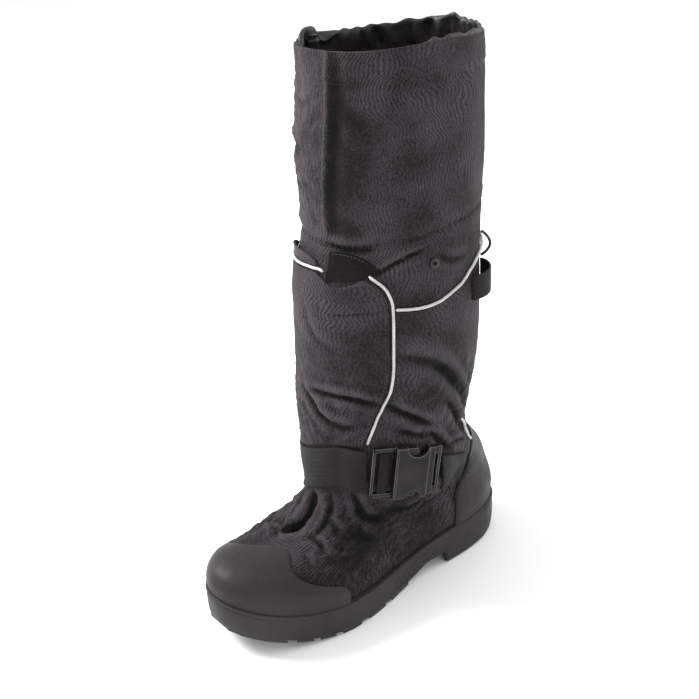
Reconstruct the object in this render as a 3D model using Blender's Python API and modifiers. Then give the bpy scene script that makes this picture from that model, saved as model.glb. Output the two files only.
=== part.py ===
import math

import bmesh
import bpy
from mathutils import Matrix, Vector

# A knee high winter overshoe for the left foot. Sizes are in millimetres and become metres in to_metres.
# The toe points to -Y, the heel to +Y, the outer side of the foot is +X and the floor is near Z 0.
MM = 0.001
SOLE_LENGTH = 330.0
HEEL_END = SOLE_LENGTH / 2
BOOT_HEIGHT = 508.0
WALL = 2.6
SEAT_GAP = 0.3
OVERLAY_GAP = 0.6
CAP_GAP = 0.75
COUNTER_GAP = 1.0
RUBBER = 3.0

# Sole heights above the floor: lug faces, lug roots, arch, and the top at ball and heel.
STUD_TIP = 0.8
LUG_ROOT = 8.5
ARCH_ROOT = 14.0
BALL_TOP = 31.0
HEEL_TOP = 38.0
TOE_SPRING = 25.0
SPRING_START = -60.0
BREAST = 67.0
BREAST_RUN = 3.0

# Plan outline of the sole: share of the length from the heel, then half widths on each side.
OUTLINE = (
    {"share": 0.012, "lateral": 22.0, "medial": 21.0},
    {"share": 0.05, "lateral": 38.0, "medial": 36.0},
    {"share": 0.114, "lateral": 49.5, "medial": 47.0},
    {"share": 0.183, "lateral": 54.0, "medial": 51.0},
    {"share": 0.28, "lateral": 55.0, "medial": 46.5},
    {"share": 0.39, "lateral": 55.0, "medial": 43.0},
    {"share": 0.475, "lateral": 58.0, "medial": 48.5},
    {"share": 0.544, "lateral": 62.0, "medial": 57.0},
    {"share": 0.622, "lateral": 66.0, "medial": 64.0},
    {"share": 0.697, "lateral": 66.5, "medial": 67.0},
    {"share": 0.767, "lateral": 62.0, "medial": 65.0},
    {"share": 0.836, "lateral": 55.0, "medial": 59.0},
    {"share": 0.906, "lateral": 43.5, "medial": 48.0},
    {"share": 0.956, "lateral": 31.0, "medial": 34.0},
    {"share": 0.988, "lateral": 16.5, "medial": 18.0},
)
WIDEST = 66.75

# Outer surface of the upper, one level section a row: heel and toe ends along Y, half widths,
# and round, which goes from the sole's outline (0) to an ellipse (1).
SECTIONS = (
    {"z": 31.0, "heel": 159.0, "toe": -160.0, "lateral": 62.0, "medial": 62.0, "round": 0.00},
    {"z": 42.0, "heel": 160.0, "toe": -160.5, "lateral": 62.5, "medial": 62.5, "round": 0.00},
    {"z": 51.0, "heel": 159.5, "toe": -157.0, "lateral": 62.0, "medial": 61.5, "round": 0.00},
    {"z": 58.0, "heel": 158.0, "toe": -150.0, "lateral": 60.5, "medial": 59.0, "round": 0.03},
    {"z": 64.0, "heel": 156.5, "toe": -140.0, "lateral": 58.5, "medial": 56.5, "round": 0.06},
    {"z": 69.0, "heel": 155.0, "toe": -127.0, "lateral": 57.0, "medial": 54.0, "round": 0.10},
    {"z": 73.0, "heel": 154.0, "toe": -112.0, "lateral": 55.5, "medial": 51.5, "round": 0.16},
    {"z": 77.0, "heel": 153.0, "toe": -94.5, "lateral": 55.0, "medial": 49.5, "round": 0.25},
    {"z": 82.0, "heel": 151.5, "toe": -78.0, "lateral": 55.5, "medial": 49.0, "round": 0.38},
    {"z": 89.0, "heel": 149.0, "toe": -63.5, "lateral": 57.0, "medial": 50.5, "round": 0.54},
    {"z": 96.5, "heel": 145.5, "toe": -52.5, "lateral": 58.5, "medial": 53.5, "round": 0.70},
    {"z": 104.0, "heel": 141.0, "toe": -45.5, "lateral": 61.0, "medial": 58.0, "round": 0.82},
    {"z": 111.0, "heel": 137.0, "toe": -42.5, "lateral": 64.5, "medial": 66.0, "round": 0.93},
    {"z": 117.0, "heel": 133.0, "toe": -42.0, "lateral": 67.5, "medial": 69.0, "round": 0.98},
    {"z": 124.0, "heel": 128.5, "toe": -42.0, "lateral": 70.0, "medial": 71.3, "round": 1.00},
    {"z": 134.0, "heel": 123.5, "toe": -41.5, "lateral": 71.5, "medial": 72.8, "round": 1.00},
    {"z": 150.0, "heel": 120.0, "toe": -40.5, "lateral": 72.0, "medial": 72.0, "round": 1.00},
    {"z": 172.0, "heel": 122.0, "toe": -40.5, "lateral": 73.5, "medial": 73.5, "round": 1.00},
    {"z": 200.0, "heel": 128.0, "toe": -39.8, "lateral": 76.0, "medial": 76.0, "round": 1.00},
    {"z": 240.0, "heel": 134.0, "toe": -37.5, "lateral": 77.7, "medial": 77.7, "round": 1.00},
    {"z": 290.0, "heel": 136.0, "toe": -36.5, "lateral": 77.8, "medial": 77.8, "round": 1.00},
    {"z": 325.0, "heel": 136.0, "toe": -31.0, "lateral": 76.0, "medial": 76.0, "round": 1.00},
    {"z": 350.0, "heel": 138.0, "toe": -24.0, "lateral": 73.5, "medial": 73.5, "round": 1.00},
    {"z": 385.0, "heel": 139.5, "toe": -25.8, "lateral": 74.6, "medial": 74.6, "round": 1.00},
    {"z": 425.0, "heel": 141.0, "toe": -26.2, "lateral": 75.5, "medial": 75.5, "round": 1.00},
    {"z": 460.0, "heel": 141.3, "toe": -23.0, "lateral": 74.4, "medial": 74.4, "round": 1.00},
    {"z": 490.0, "heel": 141.0, "toe": -20.5, "lateral": 72.8, "medial": 72.8, "round": 1.00},
    {"z": 508.0, "heel": 140.0, "toe": -19.0, "lateral": 72.0, "medial": 72.0, "round": 1.00},
)
AROUND = 36


def smooth(table, key, at, column):
    """The column's value at a place between two rows, with slopes that follow the rows around."""
    places = [row[key] for row in table]
    values = [row[column] for row in table]
    if at <= places[0]:
        return values[0]
    if at >= places[-1]:
        return values[-1]
    i = max(k for k in range(len(places) - 1) if places[k] <= at)

    def slope(k):
        low = max(k - 1, 0)
        high = min(k + 1, len(places) - 1)
        return (values[high] - values[low]) / (places[high] - places[low])

    run = places[i + 1] - places[i]
    t = (at - places[i]) / run
    rise = (1 + 2 * t) * (1 - t) ** 2 * values[i] + t * t * (3 - 2 * t) * values[i + 1]
    return rise + run * (t * (1 - t) ** 2 * slope(i) - t * t * (1 - t) * slope(i + 1))


def ease(low, high, at):
    """0 below low, 1 above high, and a smooth step between."""
    t = min(max((at - low) / (high - low), 0.0), 1.0)
    return t * t * (3 - 2 * t)


FULLNESS = [
    {
        "share": row["share"],
        "lateral": row["lateral"] / math.sqrt(1 - (1 - 2 * row["share"]) ** 2),
        "medial": row["medial"] / math.sqrt(1 - (1 - 2 * row["share"]) ** 2),
    }
    for row in OUTLINE
]


def half_width(share, side):
    """Half width of the sole at a share of its length from the heel."""
    along = 1 - 2 * share
    return smooth(FULLNESS, "share", share, side) * math.sqrt(max(1 - along * along, 0.0))


def toe_lift(y):
    """How far the toe spring lifts the sole at this place along its length."""
    t = max((SPRING_START - y) / (SPRING_START + HEEL_END), 0.0)
    return TOE_SPRING * t * t


def sole_top(y):
    return BALL_TOP + (HEEL_TOP - BALL_TOP) * ease(-20.0, 90.0, y) + toe_lift(y)


def upper_point(turn, z):
    """A point of the outer surface. Turn is 0 on the outer side, 90 at the heel and 270 at the toe."""
    angle = math.radians(turn)
    row = {column: smooth(SECTIONS, "z", z, column) for column in SECTIONS[0]}
    side = "lateral" if math.cos(angle) >= 0 else "medial"
    along = math.sin(angle)
    middle = (row["heel"] + row["toe"]) / 2
    y = middle + along * (row["heel"] - row["toe"]) / 2
    outline = half_width((1 - along) / 2, side) / WIDEST
    width = (outline * (1 - row["round"]) + abs(math.cos(angle)) * row["round"]) * row[side]
    rise = (sole_top(y) - BALL_TOP) * (1 - ease(60.0, 150.0, z))
    return Vector((math.copysign(width, math.cos(angle)), y, z + rise))


def upper_offset(turn, z, out):
    """A point this far outside the upper, along its normal."""
    point = upper_point(turn, z)
    across = upper_point(turn + 1.0, z) - upper_point(turn - 1.0, z)
    up = upper_point(turn, min(z + 1.0, BOOT_HEIGHT)) - upper_point(turn, max(z - 1.0, BALL_TOP))
    return point + across.cross(up).normalized() * out


def on_upper(turn, z, lift):
    """The same on the seated upper, which stands a small gap above the sole."""
    return upper_offset(turn, z, lift) + Vector((0, 0, SEAT_GAP))


def to_metres(points):
    return [Vector(point) * MM for point in points]


parts = bpy.data.collections.new("winter_overshoe")
cutters = bpy.data.collections.new("cutters")


def clear_scene():
    for obj in list(bpy.data.objects):
        bpy.data.objects.remove(obj, do_unlink=True)
    bpy.context.scene.collection.children.link(parts)
    bpy.context.scene.collection.children.link(cutters)


def material(name, colour, roughness, metallic=0.0):
    made = bpy.data.materials.get(name) or bpy.data.materials.new(name)
    made.use_nodes = True
    shader = made.node_tree.nodes["Principled BSDF"]
    shader.inputs["Base Color"].default_value = (*colour, 1.0)
    shader.inputs["Roughness"].default_value = roughness
    shader.inputs["Metallic"].default_value = metallic
    return made


def add_mesh(name, points, faces, look, collection=parts):
    mesh = bpy.data.meshes.new(name)
    mesh.from_pydata(to_metres(points), [], faces)
    mesh.validate()
    shaped = bmesh.new()
    shaped.from_mesh(mesh)
    bmesh.ops.recalc_face_normals(shaped, faces=shaped.faces)
    shaped.to_mesh(mesh)
    shaped.free()
    obj = bpy.data.objects.new(name, mesh)
    collection.objects.link(obj)
    if look:
        mesh.materials.append(look)
    mesh.shade_smooth()
    mesh.set_sharp_from_angle(angle=math.radians(35))
    return obj


def grid_faces(rows, columns, closed):
    """Quads of a grid of points, rows of columns, that may close around."""
    faces = []
    for r in range(rows - 1):
        for c in range(columns if closed else columns - 1):
            after = (c + 1) % columns
            low = r * columns
            high = low + columns
            faces.append((low + c, low + after, high + after, high + c))
    return faces


def solidify(obj, thickness, outward):
    shell = obj.modifiers.new("wall", "SOLIDIFY")
    shell.thickness = thickness * MM
    shell.offset = 1.0 if outward else -1.0
    shell.use_even_offset = True


FABRIC = (0.012, 0.011, 0.012)
RUBBER_COLOUR = (0.018, 0.018, 0.019)
PLASTIC_COLOUR = (0.01, 0.01, 0.011)


def build_upper():
    levels = [row["z"] for row in SECTIONS]
    turns = [360.0 * k / AROUND for k in range(AROUND)]
    points = [upper_point(turn, z) + Vector((0, 0, SEAT_GAP)) for z in levels for turn in turns]
    obj = add_mesh("upper", points, grid_faces(len(levels), AROUND, True), material("nylon", FABRIC, 0.7))
    solidify(obj, WALL, False)


# Underside rim and side of the sole, from the tread out and up. Rise is a share of the height from
# the rim to the top, and a row without it lies on the tread's root.
SOLE_SIDE = (
    {"rise": None, "inset": 7.5},
    {"rise": 0.0, "inset": 6.0},
    {"rise": 0.0, "inset": 1.7},
    {"rise": 0.14, "inset": 0.4},
    {"rise": 0.45, "inset": 0.0},
    {"rise": 0.78, "inset": 0.5},
    {"rise": 0.82, "inset": 0.0},
    {"rise": 0.94, "inset": 0.1},
    {"rise": 1.0, "inset": 1.6},
)
RIM_STEP = 2.2
ARCH_LIFT = 6.0
SOLE_STATIONS = 24


def lug_face(y):
    """Height of the lug faces, which rise a little into the arch and with the toe spring."""
    if y >= BREAST:
        return STUD_TIP
    return STUD_TIP + ARCH_LIFT * ease(-15.0, 40.0, y) + toe_lift(y)


def rim(y):
    """Height of the thin rim that closes the gaps between the edge lugs."""
    root = sole_root(y)
    step = min(lug_face(y) + RIM_STEP, root)
    return step + (root - step) * ease(20.0, 45.0, y)


def sole_root(y):
    """Underside of the sole between its lugs."""
    if y >= BREAST + BREAST_RUN:
        return STUD_TIP
    if y >= BREAST:
        return ARCH_ROOT + (STUD_TIP - ARCH_ROOT) * (y - BREAST) / BREAST_RUN
    return LUG_ROOT + (ARCH_ROOT - LUG_ROOT) * ease(5.0, 45.0, y) + toe_lift(y)


def ring(places, inset, height):
    """A closed ring of points at these places along the sole, with height a function of y."""
    length = HEEL_END - inset
    points = []
    for side, sign, along in (("lateral", 1, places), ("medial", -1, places[-2:0:-1])):
        for place in along:
            width = half_width((HEEL_END - place) / SOLE_LENGTH, side)
            y = place * length / HEEL_END
            points.append(Vector((sign * max(width - inset, 0.0), y, height(y))))
    return points


def ladder(first, count):
    """Faces across a ring, from its outer side to its inner side."""
    half = count // 2
    faces = [(first, first + 1, first + count - 1)]
    for k in range(1, half - 1):
        faces.append((first + k, first + k + 1, first + count - k - 1, first + count - k))
    faces.append((first + half - 1, first + half, first + half + 1))
    return faces


def build_sole():
    even = [HEEL_END * math.cos(math.pi * k / SOLE_STATIONS) for k in range(SOLE_STATIONS + 1)]
    kept = [place for place in even if abs(place - BREAST - BREAST_RUN / 2) > 6.0]
    places = sorted(kept + [BREAST, BREAST + BREAST_RUN], reverse=True)
    count = 2 * len(places) - 2
    points = []
    for row in SOLE_SIDE:
        rise = row["rise"]
        if rise is None:
            points += ring(places, row["inset"], sole_root)
        else:
            points += ring(places, row["inset"], lambda y: rim(y) + rise * (sole_top(y) - rim(y)))
    faces = grid_faces(len(SOLE_SIDE), count, True)
    faces += ladder(0, count) + ladder((len(SOLE_SIDE) - 1) * count, count)
    return add_mesh("outsole", points, faces, material("rubber", RUBBER_COLOUR, 0.5))


# Round lugs under ball and heel: centre across and along, whether a steel stud stands in it.
ROUND_LUGS = (
    {"x": 9.4, "y": -125.7, "stud": False},
    {"x": 9.4, "y": -111.8, "stud": False},
    {"x": 8.8, "y": -93.5, "stud": False},
    {"x": -7.0, "y": -98.4, "stud": False},
    {"x": -22.8, "y": -102.3, "stud": False},
    {"x": 31.8, "y": -43.4, "stud": False},
    {"x": 23.0, "y": -17.4, "stud": False},
    {"x": 17.0, "y": -54.0, "stud": False},
    {"x": 14.3, "y": -29.6, "stud": False},
    {"x": -8.0, "y": -24.0, "stud": False},
    {"x": -14.0, "y": -47.4, "stud": False},
    {"x": -29.5, "y": -64.5, "stud": False},
    {"x": -26.0, "y": -33.5, "stud": False},
    {"x": -21.0, "y": -9.6, "stud": False},
    {"x": 24.8, "y": -125.1, "stud": True},
    {"x": 4.0, "y": -74.2, "stud": True},
    {"x": -11.0, "y": -115.0, "stud": True},
    {"x": -16.0, "y": -81.0, "stud": True},
    {"x": 0.5, "y": -39.8, "stud": True},
)
LUG_RADIUS = 5.5
LUG_BURY = 3.0
CUT_PAST = 2.0
LUG_SIDES = 10

# Angular lugs along both edges: places along the sole at the edge and at the inner end, and the
# reach inwards from the edge. A stud stands this far in from the edge, or none.
EDGE_LUGS = (
    {"side": 1, "toe": -116, "heel": -101, "toe_in": -108, "heel_in": -95, "reach": 17, "stud": None},
    {"side": 1, "toe": -95, "heel": -80, "toe_in": -86, "heel_in": -73, "reach": 18, "stud": None},
    {"side": 1, "toe": -73, "heel": -52, "toe_in": -64, "heel_in": -50, "reach": 21, "stud": 15},
    {"side": 1, "toe": -42, "heel": -19, "toe_in": -36, "heel_in": -16, "reach": 25, "stud": 12},
    {"side": 1, "toe": -10, "heel": 15, "toe_in": -2, "heel_in": 24, "reach": 22, "stud": None},
    {"side": -1, "toe": -116, "heel": -97, "toe_in": -118, "heel_in": -99, "reach": 22, "stud": 9},
    {"side": -1, "toe": -84, "heel": -69, "toe_in": -90, "heel_in": -76, "reach": 22, "stud": None},
    {"side": -1, "toe": -54, "heel": -33, "toe_in": -63, "heel_in": -47, "reach": 22, "stud": 10},
    {"side": -1, "toe": -19, "heel": -2, "toe_in": -30, "heel_in": -14, "reach": 21, "stud": None},
    {"side": -1, "toe": 5, "heel": 24, "toe_in": -6, "heel_in": 4, "reach": 20, "stud": None},
)
LUG_EDGE = 1.0
BUMPER_REACH = 20.0
BUMPER_END = -124.0

# Studs in the heel block, and the recesses cut in its face.
HEEL_STUDS = (
    {"x": 34.2, "y": 88.3},
    {"x": 37.0, "y": 122.0},
    {"x": -43.0, "y": 78.0},
    {"x": -40.0, "y": 126.0},
    {"x": 11.0, "y": 102.0},
)
HEEL_LUGS = (
    {"x": 22.0, "y": 113.0},
    {"x": 12.0, "y": 122.5},
    {"x": -4.0, "y": 108.5},
    {"x": -3.0, "y": 123.0},
)
HEEL_POCKET = ((31.0, 131.0), (31.0, 108.0), (22.0, 93.0), (2.0, 93.0), (-13.0, 101.0), (-13.0, 131.0))
HEEL_GROOVES = (
    ((60.0, 135.5), (60.0, 141.5), (-60.0, 141.5), (-60.0, 135.5)),
    ((-20.0, 99.0), (-20.0, 91.0), (-31.0, 86.0), (-60.0, 97.0), (-60.0, 104.0), (-31.0, 93.0)),
    ((-19.0, 122.0), (-19.0, 115.0), (-32.0, 109.0), (-60.0, 117.0), (-60.0, 123.5), (-32.0, 116.0)),
    ((60.0, 104.0), (60.0, 110.0), (43.0, 115.0), (38.0, 110.0)),
)
GROOVE_DEPTH = 7.0
POCKET_DEPTH = 6.0
STUD_RADIUS = 1.9
STUD_HOLE = 2.3
STUD_DEPTH = 3.0
STUD_SIDES = 8


def prism(name, outline, low, high, collection):
    """A solid over a plan outline between two heights that may follow the toe spring."""
    count = len(outline)
    points = [(x, y, low(y)) for x, y in outline] + [(x, y, high(y)) for x, y in outline]
    faces = [(k, (k + 1) % count, count + (k + 1) % count, count + k) for k in range(count)]
    faces += [tuple(range(count)), tuple(range(count, 2 * count))]
    return add_mesh(name, points, faces, None, collection)


def disc(x, y, radius, sides):
    return [
        (x + radius * math.cos(math.tau * k / sides), y + radius * math.sin(math.tau * k / sides))
        for k in range(sides)
    ]


def edge_at(y, side, reach):
    """A point this far in from the edge of the sole, on its lateral (1) or medial (-1) side."""
    width = half_width((HEEL_END - y) / SOLE_LENGTH, "lateral" if side > 0 else "medial")
    return (side * (width - reach), y)


def lug_root(y):
    """Where a lug ends inside the sole, so that the two join."""
    return sole_root(y) + LUG_BURY


def combine(target, operation, group):
    joined = target.modifiers.new(operation.lower(), "BOOLEAN")
    joined.operation = operation
    joined.operand_type = "COLLECTION"
    joined.collection = group
    joined.solver = "EXACT"


def cutter_group(name):
    group = bpy.data.collections.new(name)
    cutters.children.link(group)
    return group


def hide_group(group):
    group.hide_render = True
    for obj in group.objects:
        obj.hide_render = True
        obj.display_type = "WIRE"


def bumper_outline():
    """The crescent under the toe tip, between the outline and the same outline set back."""
    places = [BUMPER_END - (HEEL_END + BUMPER_END - 3.0) * k / 6 for k in range(7)]
    outer = [edge_at(y, 1, LUG_EDGE) for y in places] + [edge_at(y, -1, LUG_EDGE) for y in places[::-1]]
    inner = [(x * 0.8, y + BUMPER_REACH * (1 - abs(x) / 70.0)) for x, y in outer[::-1]]
    return outer + inner


def stud_places():
    """Plan places of the steel studs."""
    places = [(row["x"], row["y"]) for row in ROUND_LUGS if row["stud"]]
    for row in EDGE_LUGS:
        if row["stud"]:
            middle = (row["toe"] + row["heel"]) / 2
            places.append(edge_at(middle, row["side"], row["stud"]))
    return places + [(row["x"], row["y"]) for row in HEEL_STUDS]


def build_tread(sole):
    lugs = cutter_group("lugs")
    cuts = cutter_group("tread_cuts")
    holes = cutter_group("stud_holes")
    for k, row in enumerate(ROUND_LUGS):
        prism(f"lug_round_{k}", disc(row["x"], row["y"], LUG_RADIUS, LUG_SIDES), lug_face, lug_root, lugs)
    for k, row in enumerate(EDGE_LUGS):
        side = row["side"]
        outline = [
            edge_at(row["toe"], side, LUG_EDGE),
            edge_at((row["toe"] + row["heel"]) / 2, side, LUG_EDGE),
            edge_at(row["heel"], side, LUG_EDGE),
            edge_at(row["heel_in"], side, row["reach"]),
            edge_at(row["toe_in"], side, row["reach"]),
        ]
        prism(f"lug_edge_{k}", outline, lug_face, lug_root, lugs)
    prism("lug_toe", bumper_outline(), lug_face, lug_root, lugs)
    for k, outline in enumerate(HEEL_GROOVES):
        prism(f"cut_heel_{k}", outline, lambda y: -CUT_PAST, lambda y: STUD_TIP + GROOVE_DEPTH, cuts)
    prism("cut_heel_pocket", HEEL_POCKET, lambda y: -CUT_PAST, lambda y: STUD_TIP + POCKET_DEPTH, cuts)
    for k, (x, y) in enumerate(stud_places()):
        low = lug_face(y) - CUT_PAST
        high = lug_face(y) + STUD_DEPTH
        prism(f"hole_{k}", disc(x, y, STUD_HOLE, STUD_SIDES), lambda y: low, lambda y: high, holes)
    heel_lugs = cutter_group("heel_lugs")
    buried = STUD_TIP + POCKET_DEPTH + CUT_PAST
    for k, row in enumerate(HEEL_LUGS + (HEEL_STUDS[-1],)):
        outline = disc(row["x"], row["y"], LUG_RADIUS, LUG_SIDES)
        prism(f"lug_heel_{k}", outline, lambda y: STUD_TIP, lambda y: buried, heel_lugs)
    combine(sole, "UNION", lugs)
    combine(sole, "DIFFERENCE", cuts)
    combine(sole, "UNION", heel_lugs)
    combine(sole, "DIFFERENCE", holes)
    for group in (lugs, cuts, heel_lugs, holes):
        hide_group(group)


def build_studs():
    steel = material("steel", (0.62, 0.62, 0.6), 0.25, 1.0)
    for k, (x, y) in enumerate(stud_places()):
        tip = lug_face(y) - STUD_TIP
        top = lug_face(y) + STUD_DEPTH - SEAT_GAP
        outline = disc(x, y, STUD_RADIUS, STUD_SIDES)
        stud = prism(f"stud_{k + 1}", outline, lambda y: tip, lambda y: top, parts)
        stud.data.materials.append(steel)


INSOLE_THICKNESS = 5.0
INSOLE_INSET = 8.8


def build_insole():
    places = [HEEL_END * math.cos(math.pi * k / 18) for k in range(19)]
    low = ring(places, INSOLE_INSET, lambda y: sole_top(y) + SEAT_GAP + 0.1)
    high = ring(places, INSOLE_INSET + 0.6, lambda y: sole_top(y) + SEAT_GAP + INSOLE_THICKNESS)
    count = len(low)
    faces = grid_faces(2, count, True) + ladder(0, count) + ladder(count, count)
    add_mesh("insole", low + high, faces, material("felt", (0.05, 0.05, 0.052), 0.9))


def build_patch(name, place, thickness, look, columns, rows, gap):
    """A layer over the upper. Place turns two shares, across and up, into turn, height and lift."""
    points = []
    for r in range(rows):
        for c in range(columns):
            turn, z, lift = place(c / (columns - 1), r / (rows - 1))
            points.append(on_upper(turn, z, gap + lift))
    obj = add_mesh(name, points, grid_faces(rows, columns, False), look)
    solidify(obj, thickness, True)


# Upper edges of the rubber toe cap and heel counter around the upper.
TOE_CAP = (
    {"turn": 205.0, "top": 41.0},
    {"turn": 209.0, "top": 48.0},
    {"turn": 222.0, "top": 54.0},
    {"turn": 235.0, "top": 61.0},
    {"turn": 249.0, "top": 68.5},
    {"turn": 266.0, "top": 74.0},
    {"turn": 281.0, "top": 76.0},
    {"turn": 293.0, "top": 74.0},
    {"turn": 304.0, "top": 68.5},
    {"turn": 314.0, "top": 62.0},
    {"turn": 322.0, "top": 57.0},
    {"turn": 330.0, "top": 52.5},
    {"turn": 335.0, "top": 48.5},
    {"turn": 337.5, "top": 41.0},
)
HEEL_COUNTER = (
    {"turn": 31.0, "top": 62.0},
    {"turn": 33.0, "top": 88.0},
    {"turn": 37.0, "top": 107.0},
    {"turn": 46.0, "top": 117.0},
    {"turn": 62.0, "top": 121.0},
    {"turn": 90.0, "top": 122.5},
    {"turn": 118.0, "top": 121.0},
    {"turn": 134.0, "top": 117.0},
    {"turn": 143.0, "top": 107.0},
    {"turn": 147.0, "top": 88.0},
    {"turn": 149.0, "top": 62.0},
)
BAND_FOOT = BALL_TOP + 0.3
TOE_CLEARANCE = 0.08


def build_band(name, edge, look, columns, rows, gap):
    """A rubber piece that stands on the sole and ends at a shaped upper edge."""
    first = edge[0]["turn"]
    last = edge[-1]["turn"]

    def place(across, up):
        turn = first + (last - first) * across
        top = smooth(edge, "turn", turn, "top")
        foot = BAND_FOOT + TOE_CLEARANCE * toe_lift(upper_point(turn, BALL_TOP).y)
        return turn, foot + (top - foot) * up, 0.0

    build_patch(name, place, RUBBER, look, columns, rows, gap)


# Middle of the ankle strap around the boot, from the inner side of the heel over the instep.
STRAP = (
    {"turn": 151.0, "z": 98.0},
    {"turn": 180.0, "z": 104.0},
    {"turn": 215.0, "z": 114.0},
    {"turn": 248.0, "z": 124.0},
    {"turn": 287.0, "z": 144.5},
    {"turn": 310.0, "z": 148.0},
    {"turn": 332.0, "z": 143.5},
    {"turn": 354.0, "z": 133.0},
    {"turn": 382.0, "z": 109.0},
    {"turn": 388.3, "z": 104.0},
)
STRAP_WIDTH = 42.0
STRAP_THICKNESS = 2.0
STRAP_RISE = 7.5
STRAP_RISE_TURN = 22.0
STRAP_GAP = 0.9
INNER_SLACK = 0.7
BUCKLE_TURN = 333.5
STRAP_END = 310.5
STRAP_REAR = 358.0


def strap_middle(turn):
    return smooth(STRAP, "turn", turn, "z")


def build_strap(name, first, last, near_buckle, look, columns):
    """A length of webbing that lifts to the buckle over its last part."""

    def place(across, up):
        turn = first + (last - first) * across
        lift = STRAP_RISE * (1 - ease(0.0, STRAP_RISE_TURN, abs(turn - near_buckle)))
        lift += INNER_SLACK * (1 - ease(215.0, 235.0, turn))
        return turn, strap_middle(turn) + STRAP_WIDTH * (up - 0.5), lift

    build_patch(name, place, STRAP_THICKNESS, look, columns, 6, STRAP_GAP)


FLAP_START = 215.0
FLAP_END = 315.5
FLAP_ABOVE_STRAP = 2.5
FLAP_THICKNESS = 2.4
FLAP_EDGE = (
    {"z": 172.0, "turn": 308.0},
    {"z": 200.0, "turn": 314.0},
    {"z": 225.0, "turn": 320.5},
    {"z": 266.0, "turn": 322.0},
    {"z": 302.0, "turn": 321.5},
    {"z": 314.0, "turn": 318.5},
    {"z": 321.0, "turn": 314.5},
    {"z": 326.0, "turn": 308.0},
)
FLAP_TOP = (
    {"turn": 215.0, "z": 324.0},
    {"turn": 250.0, "z": 324.0},
    {"turn": 270.0, "z": 326.0},
    {"turn": 279.0, "z": 325.5},
    {"turn": 283.0, "z": 318.0},
    {"turn": 300.0, "z": 321.5},
    {"turn": 312.0, "z": 326.0},
)


def flap_place(across, up):
    guess = FLAP_START + (FLAP_END - FLAP_START) * across
    low = strap_middle(guess) + STRAP_WIDTH / 2 + FLAP_ABOVE_STRAP
    z = low + (smooth(FLAP_TOP, "turn", guess, "z") - low) * up
    turn = FLAP_START + (smooth(FLAP_EDGE, "z", z, "turn") - FLAP_START) * across
    return turn, z, 0.0


def build_cord(name, route, radius, look, roundness=1):
    """A round cord through the points of a route."""
    curve = bpy.data.curves.new(name, "CURVE")
    curve.dimensions = "3D"
    curve.bevel_depth = radius * MM
    curve.bevel_resolution = roundness
    curve.use_fill_caps = True
    spline = curve.splines.new("POLY")
    spline.points.add(len(route) - 1)
    for point, place in zip(spline.points, route):
        point.co = (*(Vector(place) * MM), 1.0)
    obj = bpy.data.objects.new(name, curve)
    curve.materials.append(look)
    parts.objects.link(obj)
    return obj


PIPING_RADIUS = 1.5
PIPING_LIFT = PIPING_RADIUS + 0.55


# Reflective piping over the outer side, from the flap to the back of the calf.
SIDE_PIPING = (
    {"turn": 325.0, "z": 300.5},
    {"turn": 340.5, "z": 299.0},
    {"turn": 352.5, "z": 300.5},
    {"turn": 363.0, "z": 305.0},
    {"turn": 372.0, "z": 309.5},
    {"turn": 380.0, "z": 316.0},
    {"turn": 388.0, "z": 321.5},
    {"turn": 400.0, "z": 326.0},
    {"turn": 425.0, "z": 328.0},
    {"turn": 450.0, "z": 328.0},
)
HEEL_PIPING = (
    {"turn": 25.5, "z": 167.5},
    {"turn": 33.0, "z": 157.0},
    {"turn": 39.0, "z": 144.0},
    {"turn": 44.0, "z": 131.0},
    {"turn": 47.0, "z": 122.5},
)


def follow(table, key, other, count, first, last):
    """Evenly spaced turns and heights along a table, as route points of a piping."""
    route = []
    for k in range(count):
        at = first + (last - first) * k / (count - 1)
        value = smooth(table, key, at, other)
        turn, z = (at, value) if key == "turn" else (value, at)
        route.append(on_upper(turn, z, PIPING_LIFT))
    return route


def build_piping():
    white = material("reflective_piping", (0.75, 0.75, 0.72), 0.35)
    beside = [{"z": row["z"] + 1.0, "turn": row["turn"] + 2.3} for row in FLAP_EDGE]
    beside[-1] = {"z": 329.5, "turn": 309.0}
    route = follow(beside, "z", "turn", 20, 175.0, 329.5)
    build_cord("piping_flap", route, PIPING_RADIUS, white)
    route = follow(SIDE_PIPING, "turn", "z", 23, 325.0, 450.0)
    build_cord("piping_side", route, PIPING_RADIUS, white)
    above = [{"turn": row["turn"], "z": row["z"] + 3.2} for row in FLAP_TOP]
    route = follow(above, "turn", "z", 11, 217.0, 278.0)
    build_cord("piping_inner", route, PIPING_RADIUS, white)
    route = follow(HEEL_PIPING, "turn", "z", 7, 25.5, 47.0)
    build_cord("piping_heel", route, PIPING_RADIUS, white)


def box(name, low, high, frame, look, collection):
    """A box between two corners in a local frame, in millimetres."""
    mesh = bpy.data.meshes.new(name)
    shaped = bmesh.new()
    bmesh.ops.create_cube(shaped, size=1.0)
    for vertex in shaped.verts:
        for axis in range(3):
            middle = (low[axis] + high[axis]) / 2
            vertex.co[axis] = (middle + vertex.co[axis] * (high[axis] - low[axis])) * MM
    shaped.to_mesh(mesh)
    shaped.free()
    obj = bpy.data.objects.new(name, mesh)
    obj.matrix_world = frame
    if look:
        mesh.materials.append(look)
    collection.objects.link(obj)
    return obj


def frame_at(origin, along, outward):
    """A local frame at a point: X along, Z outward and Y across them, in metres."""
    z_axis = outward.normalized()
    x_axis = (along - z_axis * along.dot(z_axis)).normalized()
    y_axis = z_axis.cross(x_axis)
    turned = Matrix((x_axis, y_axis, z_axis)).transposed().to_4x4()
    return Matrix.Translation(origin * MM) @ turned


def outward_at(turn, z):
    return (upper_offset(turn, z, 1.0) - upper_offset(turn, z, 0.0)).normalized()


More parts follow.
